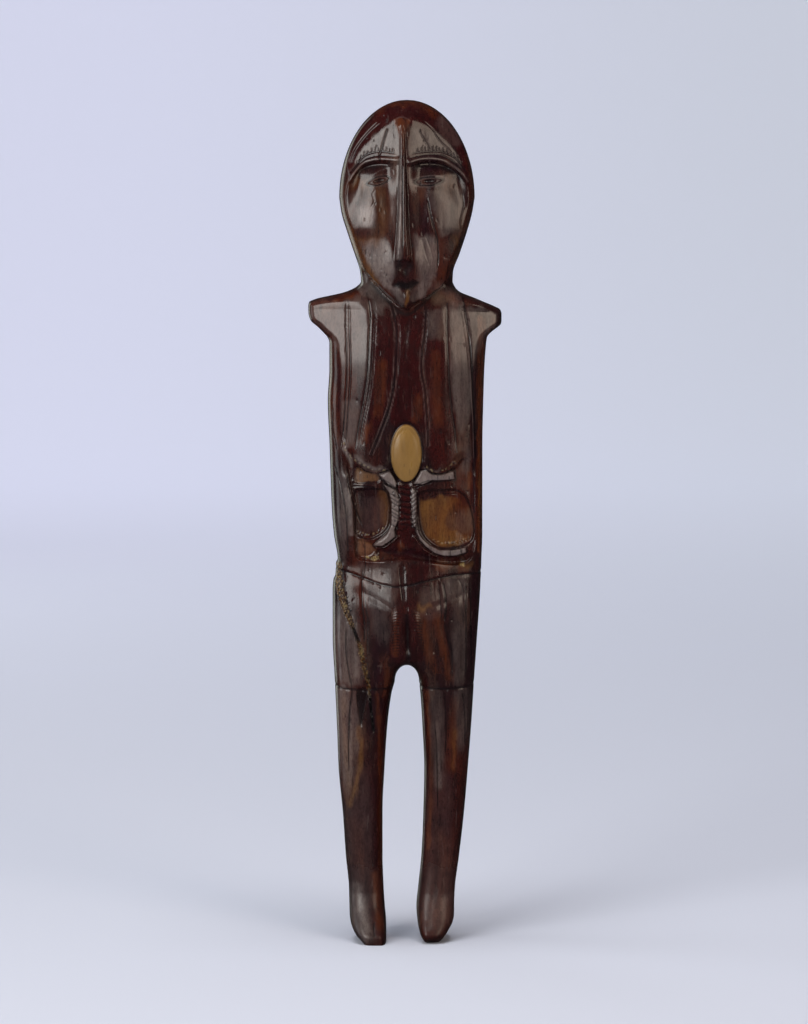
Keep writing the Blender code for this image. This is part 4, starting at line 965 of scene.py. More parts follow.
# Patches with a closed edge: points, softness and amount
PATCHES = {
    # Pale patina and painted highlights
    "pale": [
        ([(-42, 836), (-18, 828), (-12, 800), (-16, 786), (-4, 774), (-26, 786), (-44, 812)], 3, 0.32),
        ([(-42, 950), (-22, 965), (-10, 962), (-7, 942), (-30, 941), (-50, 935)], 3, 0.10),
        ([(12, 838), (36, 842), (38, 815), (34, 790), (16, 768), (14, 812)], 3, 0.22),
        ([(-82, 300), (-66, 302), (-61, 250), (-62, 190), (-72, 180), (-80, 240)], 4, 0.20),
        ([(-82, 400), (-64, 402), (-56, 360), (-52, 318), (-70, 310), (-82, 330)], 5, 0.10),
        ([(-64, 66), (-54, 66), (-46, 30), (-48, 8), (-56, 10), (-64, 34)], 6, 0.16),
        ([(-78, 560), (-68, 560), (-66, 500), (-76, 485)], 3, 0.14),
        ([(-57, 565), (-32, 563), (-31, 552), (-57, 551)], 2, 0.12),
        ([(36, 786), (64, 776), (60, 762), (34, 764)], 4, 0.14),
        ([(-74, 200), (-44, 200), (-42, 50), (-64, 50)], 8, 0.09),
        ([(24, 130), (56, 130), (54, 30), (20, 30)], 8, 0.07),
        ([(44, 984), (66, 962), (60, 946), (38, 966)], 4, 0.10),
        ([(20, 425), (46, 428), (46, 396), (20, 392)], 4, 0.07),
        ([(-20, 925), (-5, 925), (-5, 818), (-10, 818)], 2, 0.10),
        ([(-50, 530), (-28, 530), (-28, 500), (-48, 495)], 4, 0.08),
        ([(-56, 481), (-36, 474), (-40, 466), (-54, 465)], 2, 0.08),
        ([(-108, 762), (-88, 766), (-86, 750), (-108, 750)], 4, 0.07),
        ([(-74, 300), (-54, 300), (-54, 230), (-72, 230)], 5, 0.10),
        ([(24, 200), (52, 200), (52, 136), (24, 136)], 6, 0.05),
    ],
    "scuff": [
        ([(-70, 80), (-22, 80), (-20, -10), (-64, -10)], 10, 1),
        ([(10, 80), (64, 80), (54, -10), (14, -10)], 10, 1),
    ],
    "amber": [
        ([(-57, 565), (-49, 566), (-41, 563), (-32, 561), (-31, 552), (-41, 550.5), (-57, 551)], 1.6, 1),
        ([(-56, 481), (-48, 481), (-40, 478), (-35, 472), (-39, 466), (-46, 463), (-54, 465)], 2, 0.9),
        ([(-31, 543), (-21, 540), (-18, 526), (-18, 505), (-24, 498), (-29, 515), (-30, 530)], 2.5, 0.55),
        ([(19, 528), (26, 533), (44, 535), (58, 533), (66, 524), (52, 515), (50, 498), (74, 490), (76, 483),
          (56, 477), (42, 476), (32, 481), (23, 493), (19, 510)], 3, 0.95),
        ([(50, 520), (76, 522), (79, 492), (60, 484), (50, 500)], 4, 0.55),
    ],
    "red": [
        ([(-14, 742), (22, 746), (20, 700), (22, 655), (27, 615), (18, 612), (-16, 622), (-12, 676)], 3, 1),
        ([(-37, 742), (-18, 748), (-13, 715), (-14, 672), (-27, 625), (-50, 590), (-46, 640),
          (-38, 690)], 2.5, 0.9),
        ([(26, 722), (48, 716), (51, 676), (58, 612), (56, 580), (30, 576), (27, 640), (23, 683)], 3, 0.9),
        ([(-8, 550), (9, 550), (9, 503), (-8, 497)], 2, 1),
        ([(-14, 492), (12, 497), (26, 474), (60, 462), (60, 456), (0, 462), (-34, 474)], 2.5, 1),
        ([(8, 452), (36, 455), (38, 440), (6, 434)], 3, 0.8),
        ([(-60, 985), (-8, 1000), (60, 975), (76, 930), (81, 885), (75, 890), (64, 935), (40, 961), (8, 974),
          (-22, 968), (-47, 948), (-68, 902), (-77, 890), (-74, 930)], 3, 0.9),
        ([(-3, 407), (7, 404), (22, 346), (4, 336), (-18, 344), (-16, 385)], 3, 0.6),
        ([(82, 600), (91, 600), (91, 460), (83, 470)], 2, 0.8),
        ([(60, 545), (80, 560), (82, 530), (72, 535)], 3, 0.7),
        ([(-35, 300), (-22, 300), (-25, 60), (-33, 60)], 4, 0.7),
        ([(-58, 190), (-32, 190), (-30, 20), (-60, 60)], 6, 0.6),
        ([(28, 190), (62, 190), (56, 20), (20, 20)], 6, 0.6),
        ([(20, 300), (28, 300), (28, 100), (18, 100)], 3, 0.6),
        ([(82, 430), (90, 430), (84, 320), (78, 320)], 3, 0.8),
    ],
    # Painted sheen on the planes of the face, chest, arms, hips and legs, over grey wear
    "haze": [
        ([(-57, 565), (-46, 565), (-44, 552), (-57, 551)], 2, 0.5),
        ([(-56, 481), (-44, 480), (-40, 466), (-54, 465)], 2, 0.5),
        ([(-112, 752), (-60, 768), (-45, 770), (-43, 700), (-46, 676), (-70, 690), (-86, 722),
          (-104, 735)], 3, 0.5),
        ([(-38, 772), (-22, 764), (-21, 754), (-36, 752)], 3, 0.7),
        ([(-56, 800), (-46, 792), (-34, 778), (-22, 764), (-32, 764), (-50, 772), (-58, 782)], 2.5, 0.9),
        ([(-64, 648), (-50, 640), (-54, 612), (-62, 596), (-72, 600), (-74, 640)], 3, 0.6),
        ([(-90, 620), (-76, 600), (-78, 540), (-84, 480), (-76, 455), (-68, 470), (-74, 560),
          (-82, 620)], 2.5, 0.45),
        ([(52, 756), (68, 760), (72, 730), (76, 690), (78, 640), (68, 610), (60, 628), (54, 680)], 3, 0.7),
        ([(72, 756), (108, 748), (96, 722), (84, 700), (80, 690), (76, 720)], 3, 0.75),
        ([(30, 752), (47, 752), (47, 725), (28, 725)], 3, 0.5),
        ([(-64, 452), (-10, 456), (-10, 448), (-8, 432), (-28, 431), (-50, 440)], 4, 0.55),
        ([(-47, 434), (-30, 428), (-10, 425), (-14, 406), (-24, 403), (-34, 409), (-46, 416)], 5, 0.45),
        ([(46, 434), (68, 438), (72, 418), (56, 408), (49, 412)], 3, 0.5),
        ([(-40, 405), (-30, 402), (-20, 395), (-20, 360), (-40, 380)], 5, 0.3),
        ([(56, 400), (72, 405), (71, 320), (58, 318)], 4, 0.35),
        ([(50, 512), (78, 518), (80, 498), (72, 492), (54, 496)], 4, 0.45),
        ([(-82, 400), (-62, 402), (-54, 360), (-50, 318), (-70, 310), (-80, 330)], 4, 0.6),
        ([(-80, 300), (-66, 302), (-62, 250), (-64, 200), (-74, 200)], 4, 0.85),
        ([(-62, 300), (-52, 262), (-56, 220), (-64, 230)], 3, 0.45),
        ([(28, 300), (42, 302), (46, 240), (44, 190), (34, 200)], 4, 0.45),
        ([(60, 300), (76, 302), (72, 240), (62, 240)], 4, 0.5),
        ([(-42, 950), (-22, 965), (-10, 962), (-7, 940), (-30, 941), (-50, 935), (-64, 914),
          (-56, 934)], 2.5, 0.9),
        ([(10, 968), (24, 964), (44, 953), (60, 934), (66, 921), (48, 940), (30, 941), (6, 938),
          (6, 955)], 2.5, 0.55),
        ([(-60, 892), (-48, 896), (-46, 888), (-60, 876), (-68, 870), (-68, 884)], 4, 0.5),
        ([(30, 890), (50, 893), (68, 890), (66, 862), (54, 846), (42, 842), (36, 864)], 3, 0.7),
        ([(-40, 836), (-18, 828), (-12, 800), (-16, 786), (-4, 774), (-4, 762), (-26, 786),
          (-44, 812)], 3, 0.9),
        ([(10, 838), (36, 842), (38, 815), (34, 790), (16, 768), (8, 764), (9, 776), (20, 788),
          (14, 812)], 3, 0.6),
        ([(-10, 925), (-4, 925), (-4, 870), (-3, 816), (-9, 816), (-9, 860)], 1.5, 0.9),
    ],
}
# Lighter marks along lines with a painted highlight down the nose, the painted highlight on the cheek and the
# painted shades of the face
PALE_MARKS_AND_HIGHLIGHTS = [
    ([(-5.5, 905), (-5.4, 870), (-6.2, 845), (-8, 820)], 0.5),
    ([(-71, 594), (-67.5, 583), (-63, 574)], 0.5),
    ([(-66, 540), (-65, 515), (-63, 490)], 0.35),
    ([(-54, 579), (-46, 572), (-37, 568), (-26, 566)], 0.25),
]
CHEEK_HIGHLIGHT = {"middle": (-45, 866), "half_width": 12.5, "half_height": 16.0}
NOSTRILS = [(-6.5, 806), (6.5, 807), (0, 799)]
FOREHEAD_ARC = [(-13.5, 975.5), (-9, 978.5), (-4.5, 979.8), (2, 978.5), (6.5, 975)]
NOSE_SHADE = [(0.6, 925), (0.9, 880), (1.4, 850), (3.2, 820)]
CHIN_SHADE = [(-40, 786), (-16, 760), (1, 748.5), (16, 757), (37, 777)]
FOREHEAD_WEDGE = [(-14.7, 976), (-4.7, 979), (6.1, 976), (1.5, 966), (0, 949), (-0.8, 937), (-5.5, 937),
  (-6.3, 952), (-8.8, 966)]

# Dirt in the hollows: middle, half width and half height, then the lines it gathers along
CRUMBS = [(-36, 461, 6, 3.2), (-44, 462, 3, 2.0), (68, 453, 3.5, 2.6), (-71, 404, 3.2, 4.5),
  (-51, 350, 2.6, 8)]
CRUMB_EDGES = [
    [(-72, 597), (-67, 585), (-58, 578), (-49, 571.5), (-38, 567), (-24, 565.5)],
    [(24, 570), (31, 566), (40, 565), (50, 567.5), (58, 575)],
    [(-56, 492), (-46, 489), (-36, 490), (-26, 497)],
    [(30, 483), (46, 479), (62, 480), (75, 484)],
]


def beside(points, off):
    """A line moved sideways."""
    return [(u + off, w) for u, w in points]


def chest_cuts():
    """The chest lines are cut as thin lines side by side."""
    return [
        (beside(points, off), width, deep, shade)
        for points, cuts in zip(CHEST_LINES, CHEST_CUTS)
        for off, width, deep, shade in cuts
    ]


def brow_ticks():
    """Short upright strokes that stand on the upper line of each brow."""
    strokes = []
    for index in BROW_TICKS["lines"]:
        line = np.array(BROW_LINES[index][0], float)
        for k, u in enumerate(np.arange(line[0, 0] + 10, line[-1, 0] - 1, BROW_TICKS["pitch"])):
            w = np.interp(u, line[:, 0], line[:, 1]) + 0.5
            length = BROW_TICKS["length"] * (0.75 + 0.35 * np.sin(2.1 * k) ** 2)
            strokes.append(([(u, w),
              (u + 0.8 * np.sin(1.7 * k), w + length)], BROW_TICKS["width"], 0.6, 0.85))
    return strokes


def belly_hatches():
    """Slanted hatching on both flanks of the small being's trunk."""
    strokes = []
    for flank, levels in HATCH_LEVELS.items():
        (a, rise_a), (b, rise_b) = HATCH_ENDS[flank]
        strokes += [([(a, w + rise_a), (b, w + rise_b)], 1.2, 0.7, 0.85) for w in levels]
    return strokes


def random_strokes(kind, dark):
    """Scattered short upright strokes over the front: nicks or scratches."""
    numbers = np.random.default_rng(kind["seed"])
    strokes = []
    for _ in range(kind["count"]):
        w = numbers.uniform(60, 980)
        u = numbers.uniform(float(side(w, 1)) + 8, float(side(w, 2)) - 8)
        length = numbers.uniform(*kind["length"])
        lean = numbers.normal(0, 0.07) * length
        left, right = (float(gap_side(min(w, CROTCH - 1), which)) for which in (1, 2))
        if w < CROTCH + 10 and left - GAP_MARGIN < u < right + GAP_MARGIN:
            continue
        shade = dark * numbers.uniform(0.3, 1.0)
        points = [(u, w), (u + lean * 0.4, w + length / 2), (u + lean, w + length)]
        strokes.append((points, kind["width"], kind["depth"] * numbers.uniform(0.5, 1.3), shade))
    return strokes


def fine_lines():
    """All the fine cuts of the front: points, width, depth and how dark."""
    lines = BROW_LINES + brow_ticks() + FACE_LINES + chest_cuts() + CHEST_FINE + SIDE_CRACKS
    for points, width, depth, shade in SEAM_PAIR + HIP_FINE + LEG_FINE:
        lines.append((points, width, SHALLOW * depth, shade))
    lines = lines + LIMB_LINES + belly_hatches()
    return lines + random_strokes(NICKS, 1.0) + random_strokes(SCRATCHES, 0.35)


def waves(u, w, pitch, seed, turns=7):
    """Smooth noise between about -1 and 1: a sum of sine waves in many directions."""
    numbers = np.random.default_rng(seed)
    total = np.zeros(u.shape)
    for _ in range(turns):
        angle, phase = numbers.uniform(0, 2 * np.pi, 2)
        size = pitch * numbers.uniform(0.7, 1.4)
        total += np.sin(2 * np.pi * (u * np.cos(angle) + w * np.sin(angle)) / size + phase)
    return total / np.sqrt(turns / 2) / 1.6


def inside(u, w, points, soft):
    """1 inside a closed line and 0 outside it, with a soft edge."""
    loop = smooth_line(points, closed=True)
    return ramp(-soft, soft, depth_inside(u, w, loop, 3 * soft + 60))


def line_marks(u, w, lines):
    """The depth and the darkness of the fine lines at each point."""
    depth, dark = np.zeros(u.shape), np.zeros(u.shape)
    for points, width, deep, shade in lines:
        d, share = distance_to_line(u, w, smooth_line(points, parts=4), 3 * width)
        ends = ramp(-0.02, 0.12, share) * ramp(-0.02, 0.12, 1 - share)
        cut = np.exp(-((1.7 * d / width) ** 2)) * ends
        depth = np.maximum(depth, deep * cut)
        dark = np.maximum(dark, shade * cut)
    return depth, dark


def fine_front(u, w):
    """The fine relief that the plain carving lacks."""
    depth, _ = line_marks(u, w, LINES)
    out = -depth
    for place in DOTS:
        out -= mound(u, w, (*place, 1.1, 1.1, 1.0))
    for points, half_width in LOBES:
        out += RIBS["depth"] * ribs(u, w, points, half_width)
    out += 0.5 * spine_stripes(u, w)
    out -= 2.2 * inside(u, w, GOUGE, 1.2)
    out += mound(u, w, KNOB)
    for points in CRUMB_EDGES:
        out += 0.55 * band(u, w, points, 1.2, 1.5) * waves(u, w, 3.0, 3)
    d, share = distance_to_line(u, w, smooth_line(FISSURE), 14)
    rough = bell(d, 0, 0.8 + 4.0 * look_up(FISSURE_OPENING, share))
    out += rough * (0.9 * waves(u, w, 3.4, 8) + 0.5 * waves(u, w, 1.9, 9))
    # Broad tool facets and slight unevenness of the hand-worked surface
    out += 0.09 * waves(u * 2.2, w * 0.45, 46, 21) + 0.025 * waves(u * 1.6, w * 0.5, 17, 22)
    return out


def ribs(u, w, points, half_width):
    """Fine curved ribs across the outer part of a lobe, from -1 to 1."""
    line = smooth_line(points)
    outwards = (u - np.interp(w, line[::-1, 1], line[::-1, 0])) * np.sign(points[2][0])
    on = ramp(-4, 0, outwards) * ramp(half_width, half_width - 3, outwards)
    on = on * ramp(346, 354, w) * ramp(402, 396, w)
    return on * np.cos(2 * np.pi * (w + 0.03 * outwards ** 2) / RIBS["pitch"])


def spine_stripes(u, w):
    """Rounded cross stripes on the small being's trunk, from -1 to 1."""
    high, low = SPINE_STRIPES["levels"]
    on = ramp(SPINE_STRIPES["half_width"], SPINE_STRIPES["half_width"] - 2, np.abs(u - 1))
    on = on * ramp(low - 2, low + 2, w) * ramp(high + 2, high - 2, w)
    swing = 1.6 * waves(u * 0.7, w, 17, 24)
    return on * np.cos(2 * np.pi * (w + swing + 0.12 * (u - 1)) / SPINE_STRIPES["pitch"])


def scene_front(u, w):
    """The front's carving and its fine relief."""
    return front_relief(u, w) + fine_front(u, w)


def scene_back(u, w):
    """The back's carving and the slight unevenness of its surface."""
    return back_relief(u, w) + 0.16 * waves(u * 2.0, w * 0.5, 50, 31) + 0.05 * waves(u * 1.5, w * 0.5, 18, 32)


def face_marks(masks, add, u, w):
    """Painted sheen and shade, brows, forehead, nose, mouth, chin and eyes."""
    # A painted highlight: a pale disc on the left cheek
    add("pale", 0.72 * (1 - ramp(0.6, 1.08, oval_radius(u, w, CHEEK_HIGHLIGHT))))
    # Painted highlights on the brows' crests
    for points, much in zip(BROWS, (0.5, 0.3)):
        add("pale", much * band(u, w, points, 0.6, 1.4))
    # Lighter marks, with a painted highlight down the nose's left flank
    for points, much in PALE_MARKS_AND_HIGHLIGHTS:
        add("pale", much * band(u, w, points, 1.2, 1.6))
    add("pale", 0.38 * band(u, w, FOREHEAD_ARC, 0.2, 0.7))
    wedge = inside(u, w, FOREHEAD_WEDGE, 1.2)
    add("ember", 0.7 * wedge)
    add("dusk", 0.45 * wedge)
    masks["haze"] = masks["haze"] * (1 - wedge)
    add("dark", 0.95 * inside(u, w, MOUTH, 2.5))
    # Painted shade on the nose's right flank, in the nostrils and under the chin
    add("dark", 0.6 * band(u, w, NOSE_SHADE, 1.0, 1.4))
    for place in NOSTRILS:
        add("dark", mound(u, w, (*place, 4.6, 6.5, 0.85)))
    add("dark", 0.8 * band(u, w, CHIN_SHADE, 1.6, 2.2))
    for middle, half_long, half_high, tilt in EYES:
        along, across = turned(u, w, middle, tilt)
        r = np.hypot(along / half_long, across / half_high)
        add("dark", 0.65 * (1 - ramp(0.2, 0.6, r)))
        add("dark", bell(r, 1.02, 0.15))
        add("pale", 0.3 * bell(r, 0.78, 0.1) + 0.22 * bell(r, 1.32, 0.14))
    # Painted shadow under each brow
    for points, much in zip(BROWS, (0.4, 0.75)):
        below, ends = under_line(u, w, points, 10)
        add("dark", much * ends * ramp(3, 6, below) * (1 - ramp(8, 14, below)))


def crack_marks(add, u, w):
    """The long crack: its dark opening and the crumbly fill in it."""
    d, share = distance_to_line(u, w, smooth_line(FISSURE), 14)
    filled = look_up(FISSURE_FILL, share)
    lumps = waves(u, w, 5.2, 8) + 0.5 * waves(u, w, 2.4, 9)
    ragged = d + 1.1 * waves(u, w, 7.0, 14) * filled
    ragged = ragged / (1.0 + 5.2 * look_up(FISSURE_OPENING, share))
    crack = 1 - ramp(0.6, 1.0, ragged)
    add("amber", 0.7 * filled * crack)
    fine_lumps = waves(u, w, 2.6, 19) + 0.6 * lumps
    add("crumb", 0.8 * filled * crack * ramp(0.3, 1.3, fine_lumps))
    add("dark", crack * (1 - 0.85 * filled * ramp(-1.0, 0.1, fine_lumps)))
    add("dark", 0.9 * bell(ragged, 0.95, 0.2))
    add("dark", 0.88 * inside(u, w, GOUGE, 1.6))


def body_marks(add, u, w):
    """Chest lines, rings, seam, cleft, dots, stripes, ribs and the hollows' rims."""
    for index, off, half, shade in CHEST_BANDS:
        add("dark", shade * band(u, w, beside(CHEST_LINES[index], off), half, 0.8))
    # Painted highlights beside the chest lines
    for index, off, much in CHEST_LINE_HIGHLIGHTS:
        add("pale", much * band(u, w, beside(CHEST_LINES[index], off), 0.25, 0.6))
    for points in (BELT, *GARTERS):
        add("dark", 0.95 * ring_trace(u, w, points, 1.3))
    add("dark", 0.3 * band(u, w, SEAM, 1.6, 1.0))
    add("dark", 0.85 * band(u, w, CLEFT, 2.4, 3.0))
    for place in DOTS:
        add("dark", mound(u, w, (*place, 1.0, 1.0, 1.0)))
    add("dark", 0.75 * ramp(0.0, -0.9, spine_stripes(u, w)))
    for points, half_width in LOBES:
        add("dark", RIBS["shade"] * ramp(0.2, -0.8, ribs(u, w, points, half_width)))
    # Painted shade just inside the scoops' rims
    for loop in SCOOPS:
        rim = depth_inside(u, w, smooth_line(loop, closed=True), 8)
        add("dark", 0.7 * bell(rim, 0.8, 1.5))


def being_marks(masks, add, u, w):
    """The small being's honey-coloured head and its limbs."""
    r = oval_radius(u, w, HEAD_OVAL)
    add("honey", 1 - ramp(0.94, 1.0, r))
    add("dark", 0.75 * ramp(0.98, 1.02, r) * (1 - ramp(1.04, 1.14, r)))
    # The limbs are lighter: painted sheen on their tilted faces, over their own light grey colour
    for points, _, _ in PLATES:
        plate = depth_inside(u, w, np.array(points + points[:1], float), 6)
        add("haze", 0.9 * ramp(-0.6, 1.0, plate))
        add("pale", 0.52 * ramp(-0.2, 1.4, plate))
        for name in ("red", "amber", "dusk"):
            masks[name] = masks[name] * (1 - ramp(-0.6, 1.0, plate))
        add("dark", 0.75 * bell(plate, -1.0, 1.0))


def dirt_marks(add, u, w):
    """Pale crumbs of dirt and the dark between them."""
    for cu, cw, half_wide, half_high in CRUMBS:
        spot = mound(u, w, (cu, cw, half_wide, half_high, 1))
        add("crumb", 0.9 * ramp(0.25, 0.7, spot * (0.8 + 0.5 * waves(u, w, 2.6, 4))))
    grains = waves(u, w, 4.4, 6)
    for points in CRUMB_EDGES:
        edge = band(u, w, points, 1.4, 1.4)
        add("crumb", 0.45 * (ramp(0.35, 0.85, grains) * edge))
        add("dark", 0.7 * ramp(0.35, 0.9, -grains) * edge)


def patina_masks(u, w, front):
    """Named masks from 0 to 1 that say where each colour of the patina, and each painted sheen, highlight and
    shade, lies.
    """
    masks = {name: np.zeros(u.shape) for name in MASK_NAMES}

    def add(name, amount):
        masks[name] = np.maximum(masks[name], amount)

    # The colours' own edges waver, most of all along the tusk
    soft_u = u + 0.9 * waves(u * 1.6, w * 0.4, 11, 41)
    soft_w = w + 2.6 * waves(u * 1.5, w * 0.5, 13, 42)
    for name, streaks in STREAKS.items():
        for points, half, soft, much in streaks:
            add(name, much * band(soft_u, soft_w, points, half, soft))
    for name, patches in PATCHES.items():
        for points, soft, much in patches:
            add(name, much * inside(soft_u, soft_w, points, soft))
    face_marks(masks, add, u, w)
    add("haze", line_marks(u, w, PALE_LINES)[1])
    add("dark", line_marks(u, w, LINES)[1])
    crack_marks(add, u, w)
    body_marks(add, u, w)
    being_marks(masks, add, u, w)
    dirt_marks(add, u, w)
    return {name: np.clip(mask, 0, 1) * front for name, mask in masks.items()}


def mask_points(data, shift=0):
    """Every vertex's place in the drawing, and 1 on the front and 0 on the back."""
    points = ((vertex_points(data) - shift) / MILLE).astype(float)
    front = ramp(1.0, -1.0, points[:, 1] + curve_by_level(PROFILE, 3, points[:, 2]))
    return points[:, 0], points[:, 2], front


def add_masks(data, shift):
    """Stores the patina's masks on the mesh, worked out from where each point lies."""
    for name, mask in patina_masks(*mask_points(data, shift)).items():
        layer = data.attributes.new(name, "FLOAT", "POINT")
        layer.data.foreach_set("value", mask.astype(np.float32))


def crisp_vertices(data):
    """The vertices where a colour changes sharply, which the reduction leaves alone."""
    ends = np.empty(len(data.edges) * 2, np.int32)
    data.edges.foreach_get("vertices", ends)
    ends = ends.reshape(-1, 2)
    change = np.zeros(len(ends))
    for mask in patina_masks(*mask_points(data)).values():
        change = np.maximum(change, np.abs(mask[ends[:, 0]] - mask[ends[:, 1]]))
    crisp = np.zeros(len(data.vertices), bool)
    crisp[ends[change > CRISP_CHANGE].ravel()] = True
    return crisp


def reduced(data, triangles):
    """The mesh collapsed to about this many triangles, fine where the carving or its colour is fine."""
    carrier = add_object("reducing", data)
    count = sum(len(face.vertices) - 2 for face in data.polygons)
    crisp = crisp_vertices(data)
    plain = carrier.vertex_groups.new(name="plain")
    plain.add(np.flatnonzero(~crisp).tolist(), 1.0, "REPLACE")
    reduce = carrier.modifiers.new("Reduce", "DECIMATE")
    reduce.vertex_group = "plain"
    reduce.ratio = min(1.0, triangles / count)
    reduce.use_collapse_triangulate = True
    graph = bpy.context.evaluated_depsgraph_get()
    out = bpy.data.meshes.new_from_object(carrier.evaluated_get(graph))
    bpy.data.objects.remove(carrier)
    return out


def place_on_frame(data):
    """Moves the mesh to where the solid stands, and returns how far it moved."""
    points = vertex_points(data)
    own_middle = (points.min(0) + points.max(0)) / 2
    middle = (np.array(LOW) + np.array(HIGH)) / 2
    shift = middle - own_middle
    shift[2] = LOW.z - points[:, 2].min()
    move_vertices(data, points + shift)
    return shift


# The patina's colours and those of painted sheen, highlights and shade, linear
MAHOGANY = (0.020, 0.0075, 0.0085, 1)
RED_BROWN = (0.060, 0.012, 0.0065, 1)
DEEP_RED = (0.034, 0.0042, 0.0045, 1)
EMBER = (0.120, 0.030, 0.008, 1)
BROWN = (0.085, 0.040, 0.024, 1)
# Dark purple tone, also used for painted shade
DARK_TONE_AND_SHADE = (0.018, 0.0060, 0.0095, 1)
# Grey wear with painted sheen, then a paler colour for pale patina and painted highlights
GREY_WEAR_AND_SHEEN = (0.150, 0.124, 0.110, 1)
PALE_PATINA_AND_HIGHLIGHT = (0.340, 0.285, 0.260, 1)
WEAR = (0.200, 0.150, 0.115, 1)
AMBER = (0.165, 0.075, 0.020, 1)
HONEY_LIGHT = (0.270, 0.152, 0.040, 1)
HONEY_DEEP = (0.200, 0.105, 0.024, 1)
CRUMB = (0.400, 0.290, 0.110, 1)
BLACK = (0.0045, 0.0028, 0.0042, 1)
# Shades that darken what lies under them
MOTTLE_SHADE = (0.58, 0.50, 0.55, 1)
STREAK_SHADE = (0.55, 0.48, 0.50, 1)
PEPPER_SHADE = (0.50, 0.45, 0.48, 1)


class Nodes:
    """Short names for the nodes that the material uses."""

    def __init__(self, material):
        material.use_nodes = True
        self.tree = material.node_tree
        self.shader = self.tree.nodes["Principled BSDF"]

    def join(self, socket, value):
        """Feeds a socket from another node, or sets its constant."""
        if isinstance(value, bpy.types.NodeSocket):
            self.tree.links.new(value, socket)
        else:
            socket.default_value = value

    def shade(self, **inputs):
        """Sets the shader's sockets, named with underscores for spaces."""
        for name, value in inputs.items():
            self.join(self.shader.inputs[name.replace("_", " ")], value)

    def add(self, kind, inputs=None, **values):
        node = self.tree.nodes.new(kind)
        for name, value in values.items():
            setattr(node, name, value)
        for name, value in (inputs or {}).items():
            self.join(node.inputs[name], value)
        return node

    def noise(self, place, scale, detail=4, stretch=(1, 1, 1), roughness=0.55):
        mapped = self.add("ShaderNodeMapping", {"Vector": place, "Scale": stretch})
        noise = self.add(
            "ShaderNodeTexNoise",
            {"Vector": mapped.outputs["Vector"], "Scale": scale, "Detail": detail, "Roughness": roughness},
        )
        return noise.outputs["Fac"]

    def levels(self, value, low, high, to_low=0.0, to_high=1.0):
        node = self.add(
            "ShaderNodeMapRange",
            {"Value": value, "From Min": low, "From Max": high, "To Min": to_low, "To Max": to_high},
            interpolation_type="SMOOTHSTEP",
        )
        return node.outputs["Result"]

    def sum(self, operation, a, b):
        node = self.add("ShaderNodeMath", operation=operation)
        for socket, value in zip(node.inputs, (a, b)):
            self.join(socket, value)
        return node.outputs[0]

    def mask(self, name):
        return self.add("ShaderNodeAttribute", attribute_name=name).outputs["Fac"]

    def uneven(self, name, texture, *levels):
        """A mask that a texture makes uneven."""
        return self.sum("MULTIPLY", self.mask(name), self.levels(texture, *levels))

    def darken(self, colour, texture, low, high, much, shade):
        """The colour darkened by a shade where a texture is high."""
        return self.mix(self.levels(texture, low, high, 0, much), colour, shade, "MULTIPLY")

    def mix(self, factor, a, b, blend="MIX"):
        node = self.add("ShaderNodeMix", data_type="RGBA", blend_type=blend)
        for place, value in ((0, factor), (6, a), (7, b)):
            self.join(node.inputs[place], value)
        return node.outputs[2]


